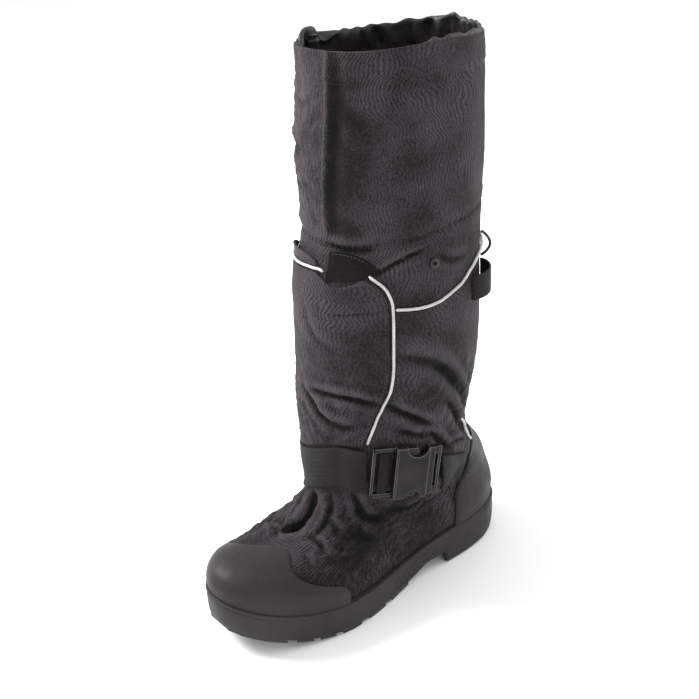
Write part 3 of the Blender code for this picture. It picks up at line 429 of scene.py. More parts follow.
def runAlong(route):
    # how far along a route in metres each of its points is, in millimetres
    return np.concatenate([[0.0], np.cumsum(np.linalg.norm(np.diff(route, axis=0), axis=1))]) * 1000


def finishPiece(obj, slot, *replaced):
    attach(obj, "root")
    if replaced:
        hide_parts(*replaced)


# camera: where it stood for the photograph, turned so that the one boot is in the middle of the frame
camera = {
    "around": 0.89587, "away": 884.409, "up": 684.073, "focal": 1109.756,
    "pitch": 0.46643, "yaw": 0.12494, "roll": 0.00481, "frame": 699.0, "bootLeft": 122.5,
}


def turned(one, other, angle):
    return one * math.cos(angle) + other * math.sin(angle)


def makeCamera():
    a = camera["around"]
    place = np.array((camera["away"] * math.sin(a), -camera["away"] * math.cos(a), camera["up"]))
    forward = np.array((-math.sin(a), math.cos(a), 0.0))
    right = np.array((math.cos(a), math.sin(a), 0.0))
    up = np.array((0.0, 0.0, 1.0))
    forward, right = turned(forward, right, camera["yaw"]), turned(right, -forward, camera["yaw"])
    forward, up = turned(forward, -up, camera["pitch"]), turned(up, forward, camera["pitch"])
    right, up = turned(right, up, camera["roll"]), turned(up, -right, camera["roll"])
    aim = math.atan(camera["bootLeft"] / camera["focal"])
    forward, right = turned(forward, -right, aim), turned(right, forward, aim)
    data = bpy.data.cameras.new("photoCamera")
    data.sensor_width = 36.0
    data.lens = camera["focal"] / camera["frame"] * data.sensor_width
    data.dof.use_dof = False
    obj = bpy.data.objects.new("photoCamera", data)
    basis = Matrix(np.stack([right, up, -forward], axis=1).tolist()).to_4x4()
    obj.matrix_world = Matrix.Translation(Vector((place + boot["shift"]) * 0.001)) @ basis
    bpy.context.scene.collection.objects.link(obj)
    bpy.context.scene.camera = obj


studio = {
    "floor": (0.95, 0.95, 0.95), "floorSize": 9.0, "world": 0.98,
    # name, place, what it points at, size, power
    "lights": (
        ("keyLight", (-1.5, -1.0, 1.7), (0, 0, 0.25), (0.9, 0.9), 78.0),
        ("fillLight", (1.9, -0.5, 1.0), (0, 0, 0.25), (1.4, 1.4), 6.0),
        ("rimLight", (0.6, 1.8, 1.3), (0, 0, 0.3), (1.0, 1.4), 12.0),
        ("topLight", (0.1, 0.0, 2.3), (0, 0, 0.0), (1.8, 1.8), 5.0),
    ),
}


def makeStudio():
    world = bpy.data.worlds.new("studioWorld")
    world.use_nodes = True
    world.node_tree.nodes["Background"].inputs["Color"].default_value = (1, 1, 1, 1)
    world.node_tree.nodes["Background"].inputs["Strength"].default_value = studio["world"]
    bpy.context.scene.world = world
    bpy.context.scene.view_settings.view_transform = "Standard"
    for name, place, target, size, power in studio["lights"]:
        data = bpy.data.lights.new(name, "AREA")
        data.shape = "RECTANGLE"
        data.size, data.size_y = size
        data.energy = power
        obj = bpy.data.objects.new(name, data)
        obj.location = place
        obj.rotation_euler = (Vector(target) - Vector(place)).to_track_quat("-Z", "Y").to_euler()
        bpy.context.scene.collection.objects.link(obj)
    size = studio["floorSize"]
    corners = [(-size, -size, 0), (size, -size, 0), (size, size, 0), (-size, size, 0)]
    finish = Finish("studioFloor", {"Base Color": (*studio["floor"], 1), "Roughness": 0.6})
    floor = makeMesh("studioFloor", corners, [(0, 1, 2, 3)], [finish.material])


# finishes, all of them procedural: the methods add nodes and give their outputs
class Finish:
    def __init__(self, name, sockets):
        self.material = bpy.data.materials.new(name)
        self.material.use_nodes = True
        self.tree = self.material.node_tree
        self.shader = self.tree.nodes["Principled BSDF"]
        for key, value in sockets.items():
            self.shader.inputs[key].default_value = value
        self.place = self.node("ShaderNodeTexCoord").outputs["Object"]

    def fill(self, socket, value):
        if isinstance(value, bpy.types.NodeSocket):
            self.tree.links.new(value, socket)
        else:
            socket.default_value = value

    def node(self, kind, values=None, **settings):
        made = self.tree.nodes.new(kind)
        for key, value in settings.items():
            setattr(made, key, value)
        for key, value in (values or {}).items():
            self.fill(made.inputs[key], value)
        return made

    def maths(self, operation, first, second=0.0):
        return self.node("ShaderNodeMath", {0: first, 1: second}, operation=operation).outputs[0]

    def plus(self, first, second):
        return self.maths("ADD", first, second)

    def minus(self, first, second):
        return self.maths("SUBTRACT", first, second)

    def times(self, first, second):
        return self.maths("MULTIPLY", first, second)

    def between(self, value, low, high, toLow=0.0, toHigh=1.0):
        values = {0: value, 1: low, 2: high, 3: toLow, 4: toHigh}
        return self.node("ShaderNodeMapRange", values, clamp=True).outputs[0]

    def grain(self, size, detail=2.0, rough=0.5, warp=0.0, where=None):
        # size is that of one lump, in metres
        values = {"Scale": 1.0 / size, "Detail": detail, "Roughness": rough, "Distortion": warp}
        values["Vector"] = self.place if where is None else where
        return self.node("ShaderNodeTexNoise", values).outputs["Fac"]

    def stripes(self, value, pitch):
        # 0 to 1 and back once each pitch
        return self.maths("MULTIPLY_ADD", self.maths("SINE", self.times(value, 2 * math.pi / pitch)), 0.5)

    def clothPlace(self):
        # around and along the cloth, in millimetres
        where = self.node("ShaderNodeUVMap", uv_map="cloth").outputs[0]
        return self.node("ShaderNodeSeparateXYZ", {0: where}).outputs[:2]

    def blend(self, share, first, second):
        mixed = self.node("ShaderNodeMix", {0: share}, data_type="RGBA")
        for socket, value in ((mixed.inputs[6], first), (mixed.inputs[7], second)):
            self.fill(socket, (*value, 1) if isinstance(value, tuple) else value)
        return mixed.outputs[2]

    def paint(self, share, first, second):
        self.fill(self.shader.inputs["Base Color"], self.blend(share, first, second))

    def bump(self, height, distance, strength, under=None):
        values = {"Height": height, "Distance": distance, "Strength": strength}
        if under is not None:
            values["Normal"] = under
        made = self.node("ShaderNodeBump", values).outputs[0]
        self.tree.links.new(made, self.shader.inputs["Normal"])
        return made


cloth = {
    "dark": (0.0075, 0.0064, 0.0073),
    "light": (0.0575, 0.0472, 0.0545),
    # painted shade: the near-black colour of the deepest hollows
    "paintedHollowShade": (0.0028, 0.0024, 0.0027),
    "line": 3.3,
    "weave": 1.25,
    "sockets": {
        "Roughness": 0.66, "Specular IOR Level": 0.1, "Sheen Weight": 0.035, "Sheen Roughness": 0.45,
        "Sheen Tint": (0.9, 0.74, 0.86, 1),
    },
}


def makeNylon():
    made = Finish("shellNylon", cloth["sockets"])
    around, along = made.clothPlace()
    # the fine lines down the cloth wander, and fade out in patches
    stretch = {0: made.place, 1: (0.4, 0.4, 1.0)}
    upright = made.node("ShaderNodeVectorMath", stretch, operation="MULTIPLY").outputs[0]
    wander = made.times(made.minus(made.grain(0.055, where=upright), 0.5), 60.0)
    small = made.times(made.minus(made.grain(0.011, 1.0, where=upright), 0.5), 11.0)
    lines = made.stripes(made.plus(made.plus(around, wander), small), cloth["line"])
    patches = made.between(made.grain(0.06, 1.0), 0.4, 0.62)
    weave = made.times(made.stripes(around, cloth["weave"]), made.stripes(along, cloth["weave"]))
    fuzz = made.grain(0.002, 2.0, 0.8)
    # the mesh carries the painted shading: painted shade where the cloth lies in a hollow or in the shade,
    # painted light where light falls on it
    paintedShading = made.node("ShaderNodeAttribute", attribute_name="paintedShading").outputs["Fac"]
    share = made.between(made.grain(0.03, 4.0, 0.6), 0.3, 0.75, 0.1, 0.45)
    share = made.plus(share, made.times(made.times(lines, patches), 0.6))
    share = made.minus(share, made.times(paintedShading, 0.5))
    share = made.plus(share, made.times(made.minus(fuzz, 0.5), 1.5))
    share = made.plus(share, made.times(made.minus(weave, 0.25), 0.25))
    colour = made.blend(made.between(share, 0.0, 1.0), cloth["dark"], cloth["light"])
    # painted shade: the deepest hollows go towards the near-black colour
    made.paint(made.between(paintedShading, 0.25, 1.0, 0.0, 0.8), colour, cloth["paintedHollowShade"])
    first = made.bump(made.plus(weave, made.times(lines, 0.8)), 0.0003, 0.6)
    made.bump(made.grain(0.004, 3.0), 0.0006, 0.35, first)
    return made.material


def makeLining():
    sockets = {"Roughness": 0.42, "Specular IOR Level": 0.3, "Sheen Weight": 0.04, "Sheen Roughness": 0.35}
    made = Finish("liningCloth", sockets)
    share = made.between(made.grain(0.012, 3.0), 0.35, 0.7)
    made.paint(share, (0.0056, 0.0046, 0.0053), (0.0235, 0.0196, 0.0222))
    first = made.bump(made.grain(0.0016, 3.0, 0.7), 0.0007, 0.6)
    made.bump(made.grain(0.006, 3.0, 0.6), 0.0015, 0.5, first)
    return made.material


rubberLook = {"dark": (0.0118, 0.0098, 0.0109), "light": (0.0425, 0.0365, 0.0405), "rough": (0.45, 0.62)}


def makeRubber(name, brightness=1.0):
    made = Finish(name, {"Specular IOR Level": 0.2})
    dust = made.grain(0.0022, 3.0, 0.7)
    # edges are worn lighter
    wornAndGlintEdges = made.minus(made.node("ShaderNodeNewGeometry").outputs["Pointiness"], 0.5)
    wear = made.times(made.between(wornAndGlintEdges, 0.01, 0.09), 0.5)
    share = made.plus(made.between(made.grain(0.05, 4.0, 0.55), 0.3, 0.8, 0.15, 0.55), wear)
    share = made.plus(share, made.between(dust, 0.55, 0.8, 0.0, 0.35))
    dark, light = (tuple(c * brightness for c in rubberLook[key]) for key in ("dark", "light"))
    made.paint(made.between(share, 0.0, 1.0), dark, light)
    rough = made.between(made.grain(0.02, 3.0), 0.3, 0.7, *rubberLook["rough"])
    made.fill(made.shader.inputs["Roughness"], rough)
    first = made.bump(dust, 0.00025, 0.5)
    made.bump(made.grain(0.009), 0.0006, 0.3, first)
    return made.material


def makeWebbing():
    made = Finish("webbingWeave", {"Roughness": 0.6, "Specular IOR Level": 0.1, "Sheen Weight": 0.02})
    around, along = made.clothPlace()
    # ribs across the band, broken by rows along it
    row = made.times(made.maths("SINE", made.times(along, 2 * math.pi / 5.0)), 0.5)
    ribs = made.stripes(made.plus(around, row), 1.5)
    weave = made.times(ribs, made.between(made.stripes(along, 2.5), 0.0, 0.5, 0.75, 1.0))
    cloudy = made.between(made.grain(0.02, 3.0), 0.3, 0.7, 0.0, 0.35)
    share = made.plus(made.times(weave, 0.55), cloudy)
    made.paint(share, (0.0046, 0.0038, 0.0041), (0.0205, 0.0172, 0.0184))
    made.bump(weave, 0.0005, 0.8)
    return made.material


def makePiping():
    made = Finish("reflectivePiping", {"Roughness": 0.42})
    dots = made.grain(0.0011)
    dirt = made.between(made.grain(0.012), 0.3, 0.7, 0.0, 0.4)
    share = made.plus(made.between(dots, 0.35, 0.7, 0.0, 0.5), dirt)
    made.paint(share, (0.36, 0.35, 0.355), (0.66, 0.65, 0.65))
    made.bump(dots, 0.0002, 0.6)
    return made.material


def makeGrained(name, sockets, lump, limits, dark, light, distance, strength):
    # one grain gives both the colour and the relief
    made = Finish(name, sockets)
    fibres = made.grain(*lump)
    made.paint(made.between(fibres, *limits), dark, light)
    made.bump(fibres, distance, strength)
    return made.material


def makePlastic(name, dark, light, roughness, specular):
    made = Finish(name, {"Roughness": roughness, "Specular IOR Level": specular})
    made.paint(made.between(made.grain(0.02, 3.0), 0.3, 0.7), dark, light)
    soft = made.node("ShaderNodeBevel", {"Radius": 0.0006}, samples=4).outputs[0]
    made.bump(made.grain(0.0009), 0.0001, 0.35, soft)
    return made.material


def makeSteel(name, dark, light):
    made = Finish(name, {"Metallic": 1.0})
    scratch = made.grain(0.0006, 3.0, 0.6, 2.0)
    made.paint(scratch, dark, light)
    made.fill(made.shader.inputs["Roughness"], made.between(scratch, 0.3, 0.7, 0.22, 0.42))
    made.bump(scratch, 0.0001, 0.4)
    return made.material


makeCamera()
makeStudio()
nylon = makeNylon()
lining = makeLining()
rubber = makeRubber("bootRubber")
soleRubber = makeRubber("soleRubber", 1.05)
webbing = makeWebbing()
piping = makePiping()
hookTape = makeGrained(
    "hookTape", {"Roughness": 0.85, "Specular IOR Level": 0.08}, (0.0012, 2.0, 0.8), (0.35, 0.75),
    (0.0042, 0.0036, 0.004), (0.0155, 0.0132, 0.0148), 0.0009, 0.9)
felt = makeGrained(
    "insoleFelt", {"Roughness": 0.92}, (0.0015, 4.0, 0.8, 1.5), (0.0, 1.0),
    (0.012, 0.012, 0.0125), (0.045, 0.044, 0.045), 0.001, 0.8)
thread = makeGrained(
    "sewingThread", {"Roughness": 0.5}, (0.0005,), (0.0, 1.0),
    (0.007, 0.006, 0.0068), (0.026, 0.023, 0.0255), 0.0001, 0.6)
plastic = makePlastic("mouldedPlastic", (0.0065, 0.0052, 0.0057), (0.019, 0.0162, 0.0172), 0.3, 0.16)
# a brighter copy of the plastic for the rounded edges of the buckle: painted glints
paintedGlintPlastic = makePlastic("paintedGlintPlastic", (0.032, 0.029, 0.0305), (0.065, 0.061, 0.063), 0.24, 0.5)
steel = makeSteel("studSteel", (0.5, 0.5, 0.49), (0.78, 0.78, 0.76))
gunmetal = makeSteel("eyeletMetal", (0.018, 0.017, 0.018), (0.085, 0.08, 0.083))
print("camera, studio and materials made")


# the drawcord loop at the back of the calf is the only free cord
drawcord = {
    "radius": 1.3, "turn": 404.0, "lean": 4.0, "top": 337.0, "low": 313.0, "bulge": 8.0, "points": 29,
}


def makeDrawcord():
    share = np.linspace(0, 1, drawcord["points"])
    lift = drawcord["radius"] + drawcord["bulge"] * np.sin(np.pi * share) ** 0.8
    z = spread(drawcord["top"], drawcord["low"], share)
    route, _ = onUpper(drawcord["turn"] + drawcord["lean"] * share, z, lift, folded=False)
    curve = bpy.data.curves.new("drawcordLoop", "CURVE")
    curve.dimensions = "3D"
    curve.bevel_depth = drawcord["radius"] * 0.001
    curve.bevel_resolution = 4
    curve.use_fill_caps = True
    spline = curve.splines.new("POLY")
    spline.points.add(len(route) - 1)
    for point, where in zip(spline.points, route):
        point.co = (*where, 1.0)
    obj = bpy.data.objects.new("drawcordLoop", curve)
    curve.materials.append(thread)
    bpy.context.scene.collection.objects.link(obj)
    finishPiece(obj, "cord", "drawcord_loop")


makeDrawcord()


# upper: the cloth shell with its folds, rolled over at the collar into the lining
upperShell = {
    "columns": 320, "outerRows": 214, "innerRows": 82, "ruffle": 1.7, "dip": 4.8, "tiltFrom": 455.0,
    "perDegree": 1.31,  # millimetres of cloth for a degree of turn
    # the roll over the rim: how far in and up, and the share of the lining's rise
    "rim": (
        (0.3, 0.5, 0.0), (0.9, 0.8, 0.0), (1.5, 0.5, 0.1), (1.9, 0.2, 0.4), (2.4, 0.3, 0.8), (3.2, 0.8, 1.0),
        (4.3, 0.9, 1.0), (5.6, 0.0, 1.0),
    ),
}
# the gathered top of the lining: turn, how far it rises or drops
collarRise = np.array((
    (0.0, 1.5), (30.0, 2.6), (60.0, 3.0), (90.0, 3.2), (120.0, 3.0), (150.0, 3.0), (174.0, 2.0),
    (188.0, -6.0), (196.0, -6.5), (203.0, 5.0), (212.0, 7.5), (221.0, 3.0), (234.0, -1.0), (250.0, -2.4),
    (300.0, -3.0), (330.0, -2.0), (360.0, 1.5),
))
# the rim isn't level: it stands higher on the outer side and lower on the inner side
collarTilt = np.array((
    (0.0, 4.8), (20.0, 4.0), (45.0, 3.2), (66.0, 3.2), (85.0, 4.4), (95.0, 4.6), (109.0, 1.6), (133.0, -3.4),
    (155.0, -7.0), (180.0, -6.4), (205.0, -2.6), (231.0, -3.0), (262.0, -0.5), (300.0, 0.4), (329.0, 2.8),
    (350.0, 5.2), (360.0, 4.8),
))


def collarShift(turn, z):
    # how far the cloth near the rim is moved up, in millimetres; it dips at the back
    turn = np.asarray(turn, float) % 360.0
    dip = upperShell["dip"] * np.sin(np.radians(turn)).clip(0, 1) ** 0.8
    return (smooth(collarTilt, turn) - dip) * ease(upperShell["tiltFrom"], boot["height"], z)


def evenHeights(low, high, count, turns=(270.0, 0.0, 180.0)):
    # heights that give rows about equally far apart on the longest of these sides
    fine = np.linspace(low, high, 1200)
    steps = np.zeros(len(fine) - 1)
    for turn in turns:
        path = upperPoint(np.full(len(fine), turn), fine)
        steps = np.maximum(steps, np.linalg.norm(np.diff(path, axis=0), axis=1))
    run = np.concatenate([[0.0], np.cumsum(steps)])
    return np.interp(np.linspace(0, run[-1], count), run, fine)


def upperPaintedShading(turn, z, stand, placed):
    # painted light and shade: the inner side of the shaft is painted brighter where it catches more light,
    # and patches of painted shade lie beside its front fold
    shaft = ease(350.0, 360.0, z)
    past = turn - smooth(frontEdge, z)
    light = ease(208.0, 222.0, turn) * (1 - ease(-1.0, 0.6, past)) * ease(350.0, 358.0, z)
    beside = ease(0.4, 1.8, past) * (1 - ease(14.0, 34.0, past)) * shaft
    # a narrow band of painted shade right beside the fold
    narrow = ease(0.4, 1.8, past) * (1 - ease(3.0, 9.0, past)) * shaft
    shadePatches = ease(-0.12, 0.22, lumps(upperPoint(turn, z), 62.0, 41.0))
    # painted shade in the creases, less the painted light on the inner side
    paintedShading = 0.5 * creaseShading(stand) + 0.7 * creaseShading(placed) - 0.25 * light
    # the foot is in the shade of the shaft, most of all towards the waist
    paintedShading += (1 - ease(98.0, 118.0, z)) * (0.2 + 0.4 * ease(292.0, 330.0, turn))
    return paintedShading + beside * (0.1 + 0.3 * shadePatches) + 0.22 * narrow


def ruffled(turn, z, large, small):
    # irregular gathers around the collar
    wave = np.radians(turn)
    gathers = large * np.sin(wave * 14 + 2.4 * np.sin(wave * 3) + z * 0.05)
    return gathers + small * np.sin(wave * 27 + 3 * np.sin(wave * 4 + 1) - z * 0.07)


def liningSurface(turn, z, rise):
    # the lining follows the shell's folds at its own thickness, and gathers towards the collar
    below = boot["height"] - z
    gathers = 1 - ease(0.0, 46.0, below)
    points = upperPoint(turn, z)
    crush = lumps(points, 11.0, 21.0) * 1.6 + lumps(points, 5.0, 31.0) * 0.7
    depth = boot["wall"] + 0.4 + gathers * (2.6 - ruffled(turn, z, 1.3, 0.9) - crush)
    inner, _ = onUpper(turn, z, -(depth - 0.4 * crush * (1 - gathers)))
    inner[..., 2] += ((1 - ease(0.0, 9.0, below)) * rise + collarShift(turn, z)) * 0.001
    return inner


def makeUpper():
    columns = upperShell["columns"]
    turns = np.linspace(0, 360, columns, endpoint=False)
    turn, z = np.meshgrid(turns, evenHeights(boot["ballTop"], boot["height"], upperShell["outerRows"]))
    stand, placed = foldHeight(upperPoint(turn, z), turn, z)
    outer, normals = onUpper(turn, z, stand, False)
    outer[..., 2] += collarShift(turn, z) * 0.001
    paintedShading = upperPaintedShading(turn, z, stand, placed).ravel()
    places = [np.stack([turn, z], axis=-1).reshape(-1, 2)]
    points = [outer.reshape(-1, 3)]
    # over the rim, then down the inside
    inward = normals[-1] * np.array((1, 1, 0))
    inward = -inward / np.linalg.norm(inward, axis=1, keepdims=True)
    rise = smooth(collarRise, turns) + upperShell["ruffle"] * ruffled(turns, 0.0, 0.6, 0.4)
    for across, lift, share in upperShell["rim"]:
        up = np.array((0.0, 0.0, 1.0)) * (lift + (rise * share)[:, None])
        points.append(outer[-1] + (inward * across + up) * 0.001)
        places.append(np.stack([turns, np.full(columns, boot["height"] + across)], axis=-1))
    inside = evenHeights(boot["height"] - 2.0, boot["ballTop"] + 6.0, upperShell["innerRows"])
    turn, z = np.meshgrid(turns, inside)
    points = np.concatenate([*points, liningSurface(turn, z, rise).reshape(-1, 3)])
    places = np.concatenate([*places, np.stack([turn, z], axis=-1).reshape(-1, 2)])
    paintedShading = np.concatenate([paintedShading, np.zeros(len(points) - len(paintedShading))])
    rows = len(points) // columns
    faces = gridFaces(rows, columns, True)
    last = (rows - 1) * columns
    faces += [(last + c, last + (c + 1) % columns, (c + 1) % columns, c) for c in range(columns)]
    outerFaces = (upperShell["outerRows"] + 1) * columns
    slots = [0] * outerFaces + [1] * (len(faces) - outerFaces)
    uv = places * np.array((upperShell["perDegree"], 1.0))
    obj = makeMesh("upperShell", points, faces, [nylon, lining], uv, slots, paintedShading=paintedShading)
    finishPiece(obj, "nylon", "upper")
    print("upper", len(faces), "faces")


makeUpper()


# layers over the upper: each is a closed sheet with rounded edges
def clustered(count, length, edge):
    # shares along a side, closer together at its two ends
    inner = np.linspace(edge / length, 1 - edge / length, count)
    rim = np.array((0.0, 0.12, 0.3, 0.6)) * edge / length
    return np.concatenate([rim, inner, (1 - rim)[::-1]])


def makeLayer(name, place, finish, size, counts, thick, edge, gap, slot, replaced=(), folded=True,
              texture=None, thinTop=0.0, paintedLight=0.0):
    # place turns shares across and up into turn, height and lift; size is the piece's width and height
    across = clustered(counts[0], size[0], edge)
    up = clustered(counts[1], size[1], edge)
    u, v = np.meshgrid(across, up)
    turn, z, lift = place(u, v)
    fromSide = np.minimum(u, 1 - u) * size[0]
    fromEnd = np.minimum(v, 1 - v) * size[1]
    near = np.clip(np.minimum(fromSide, fromEnd) / edge, 0.0, 1.0)
    crown = np.sqrt(1 - (1 - near) ** 2)
    depth = thick * (0.25 + 0.75 * crown)
    if thinTop:
        depth *= 1 - thinTop * ease(0.7, 1.0, v)
    surface = lift + gap + depth
    if texture is not None:
        surface = surface + texture(u * size[0], v * size[1], near)
    stand, placed = foldHeight(upperPoint(turn, z), turn % 360.0, z) if folded else (0.0 * u, 0.0 * u)
    outer, _ = onUpper(turn, z, surface + stand, False)
    inner, _ = onUpper(turn, z, lift + 0.15 + stand, False)
    # painted shading: painted shade in the hollows, painted light on the ridges, and the piece's own painted
    # light
    paintedShading = 0.5 * creaseShading(stand) + 0.7 * creaseShading(placed) - paintedLight
    uv = np.stack([u * size[0], v * size[1]], axis=-1).reshape(-1, 2)
    points = np.concatenate([outer.reshape(-1, 3), inner.reshape(-1, 3)])
    uv, paintedShading = np.concatenate([uv, uv]), np.concatenate([paintedShading, paintedShading])
    obj = makeMesh(name, points, sheetFaces(*u.shape), [finish], uv, paintedShading=paintedShading)
    finishPiece(obj, slot, *replaced)


toeCap = {
    "size": (215.0, 100.0), "counts": (130, 70), "thick": 3.0, "edge": 2.6, "gap": 0.7, "thinTop": 0.7,
    "slot": "rubber", "replaced": ("toe_cap",), "folded": False,
}
heelCounter = {
    "size": (190.0, 88.0), "counts": (110, 60), "thick": 3.0, "edge": 2.6, "gap": 0.9, "thinTop": 0.6,
    "slot": "rubber", "replaced": ("heel_counter",), "folded": False,
}
rubberFoot = 30.5  # both start at this height


def bandPlace(edge):
    def place(u, v):
        turn = spread(edge[0, 0], edge[-1, 0], u)
        return turn, spread(rubberFoot, smooth(edge, turn), v), 0.0 * u
    return place


def toeRelief(x, y, near):
    # a shallow moulded line around the foot of the cap
    return (0.35 * bell(y - 16.0, 1.6) - 0.4 * bell(y - 13.0, 1.0)) * near


def counterRelief(x, y, near):
    # a moulded line inside the counter's upper edge and one around its foot
    return -0.45 * near * (bell(y - 80.0, 0.9) + bell(y - 9.0, 0.9))


makeLayer("toeCap", bandPlace(capEdge), rubber, texture=toeRelief, **toeCap)
makeLayer("heelCounter", bandPlace(counterEdge), rubber, texture=counterRelief, **heelCounter)
print("rubber pieces made")


# sole: a smooth side wall over the lugged block, with a beaded rim at its top
soleWall = {
    "columns": 1150, "rows": 46, "lugRoot": 8.5, "archRoot": 14.0, "breast": 67.0, "archLift": 6.0,
    "step": 2.2, "proud": 0.35, "bead": 2.5, "beadHeight": 0.2, "rope": 0.5, "ropePitch": 6.4,
}


def lugFace(y):
    flat = boot["studTip"] + soleWall["archLift"] * ease(-15.0, 40.0, y) + toeLift(y)
    return np.where(y >= soleWall["breast"], boot["studTip"], flat)


def soleRoot(y):
    arch = spread(soleWall["lugRoot"], soleWall["archRoot"], ease(5.0, 45.0, y)) + toeLift(y)
    step = np.clip((y - soleWall["breast"]) / 3.0, 0.0, 1.0)
    return spread(arch, boot["studTip"], step)


def soleRim(y):
    root = soleRoot(y)
    return spread(np.minimum(lugFace(y) + soleWall["step"], root), root, ease(20.0, 45.0, y))


# side of the sole from the tread to the top: share of the height, set in from the outline
soleSide = np.array((
    (0.0, 1.9), (0.015, 1.2), (0.05, 0.75), (0.14, 0.35), (0.3, 0.08), (0.5, 0.0), (0.7, 0.05), (0.81, 0.2),
    (0.84, 0.6), (0.855, 0.65), (0.87, 0.3), (0.89, -0.05), (0.92, -0.2), (0.95, -0.05), (0.975, 0.35),
    (0.99, 0.8), (1.0, 1.5), (1.0, 3.2), (0.985, 4.4),
))


def solePlan(angle):
    # the sole's outline at an angle around its middle: place along it and signed width
    along = boot["heelEnd"] * np.cos(angle)
    outer = np.sin(angle) >= 0
    return along, halfWidth((boot["heelEnd"] - along) / boot["length"], outer) * np.sign(np.sin(angle))


def makeSoleWall():
    # columns evenly spaced along the outline, rows down its side
    fine = np.linspace(0, 2 * math.pi, 6000)
    route, side = solePlan(fine)
    run = np.concatenate([[0.0], np.cumsum(np.hypot(np.diff(route), np.diff(side)))])
    along = np.linspace(0, run[-1], soleWall["columns"], endpoint=False)
    around = np.interp(along, run, fine)
    steps = np.linspace(0, len(soleSide) - 1, soleWall["rows"])
    levels, insets = (np.interp(steps, np.arange(len(soleSide)), column) for column in soleSide.T)
    angle, share = np.meshgrid(around, levels)
    inset = insets[:, None]
    y = np.cos(angle) * (boot["heelEnd"] - inset)
    outer = np.sin(angle) >= 0
    width = np.abs(solePlan(angle)[1])
    # rope ribs along the waist and fine beads on the rim
    waist = ease(-14.0, -4.0, y) * (1 - ease(52.0, 62.0, y))
    waist = waist * ease(0.1, 0.2, share) * (1 - ease(0.6, 0.7, share))
    slanted = (y + np.abs(share - 0.4) * 26.0) * 2 * math.pi / soleWall["ropePitch"]
    rope = soleWall["rope"] * np.cos(slanted) * waist
    rim = ease(0.875, 0.9, share) * (1 - ease(0.95, 0.975, share))
    beads = soleWall["beadHeight"] * np.cos(along * 2 * math.pi / soleWall["bead"]) * rim
    proud = soleWall["proud"] + rope + beads
    x = np.maximum(width - inset, 0.0) + proud * np.minimum(1, width / 8.0)
    y = y + np.cos(angle) * proud
    bottom = soleRim(np.clip(y, -boot["heelEnd"], boot["heelEnd"]))
    z = bottom + share * (soleTop(y) - bottom) + 0.05
    points = (np.stack([np.where(outer, x, -x), y, z], axis=-1) + boot["shift"]) * 0.001
    # a back wall inside the block closes the strip
    within = points[[-1, 0]] * np.array((0.95, 0.97, 1.0))
    within[0, :, 2] = points[-1, :, 2] - 0.001
    within[1, :, 2] = points[0, :, 2] + 0.001
    points = np.concatenate([points, within])
    rows, columns = points.shape[:2]
    faces = [face[::-1] for face in gridFaces(rows, columns, True)]
    last = (rows - 1) * columns
    faces += [(c, last + c, last + (c + 1) % columns, (c + 1) % columns)[::-1] for c in range(columns)]
    obj = makeMesh("soleWall", points, faces, [soleRubber])
    finishPiece(obj, "rubber")


makeSoleWall()
print("sole wall made")


# the front flap, its curled lip and the hook patch, and their turns at both ends
frontFlap = {
    "size": (135.0, 172.0), "counts": (96, 116), "thick": 1.9, "edge": 1.6, "gap": 0.7,
    "slot": "nylon", "replaced": ("front_flap",),
}
flapTurns = (215.0, 315.5)
# the lip's cloth gets painted light, like the shaft's inner side
flapLip = {
    "size": (66.0, 11.0), "counts": (56, 14), "thick": 1.8, "edge": 1.0, "gap": 0.4,
    "slot": "nylon", "paintedLight": 0.4,
}
lipTurns = (226.0, 272.0)
lipCurl = {"start": 4.6, "height": 10.0, "lift": 0.4, "off": 4.5}
hookPatch = {
    "size": (42.0, 24.0), "counts": (50, 24), "thick": 0.9, "edge": 0.8, "gap": 0.5,
    "slot": "hook_patch", "replaced": ("hook_patch",),
}
patchTurns = (280.5, 315.5)
# the patch's edges: turn, lower and upper height
patchEdges = np.array((
    (280.5, 321.0, 345.5), (290.0, 322.5, 346.8), (299.0, 324.5, 345.5), (306.0, 327.0, 342.0),
    (312.0, 329.5, 336.5), (315.5, 331.0, 332.5),
))


def flapPlace(u, v):
    guess = spread(*flapTurns, u)
    low = smooth(strapLine, guess) + strap["width"] / 2 + 1.0
    z = spread(low, smooth(flapTop, guess), v)
    return spread(flapTurns[0], smooth(flapEdge, z), u), z, 0.0 * u


def lipPlace(u, v):
    # the flap's upper edge stands off the shaft on the inner side
    turn = spread(*lipTurns, u)
    bow = np.sin(np.pi * np.clip(u, 0.0, 1.0))
    z = smooth(flapTop, turn) + lipCurl["start"] + lipCurl["height"] * v * bow ** 0.35
    return turn, z, lipCurl["lift"] + lipCurl["off"] * v ** 1.3 * bow ** 0.6


def patchPlace(u, v):
    turn = spread(*patchTurns, u)
    return turn, spread(smooth(patchEdges, turn), smooth(patchEdges, turn, 2), v), 0.0 * u


makeLayer("frontFlap", flapPlace, nylon, **frontFlap)
makeLayer("flapLip", lipPlace, nylon, **flapLip)
makeLayer("hookPatch", patchPlace, hookTape, **hookPatch)


# round tubes along routes: the piping, and later the ribs of the tread and the stitches
def rings(side, out, sides):
    # a round ring of directions for each pair of side and out
    angle = np.linspace(0, 2 * np.pi, sides, endpoint=False)
    return side[:, None, :] * np.cos(angle)[None, :, None] + out[:, None, :] * np.sin(angle)[None, :, None]


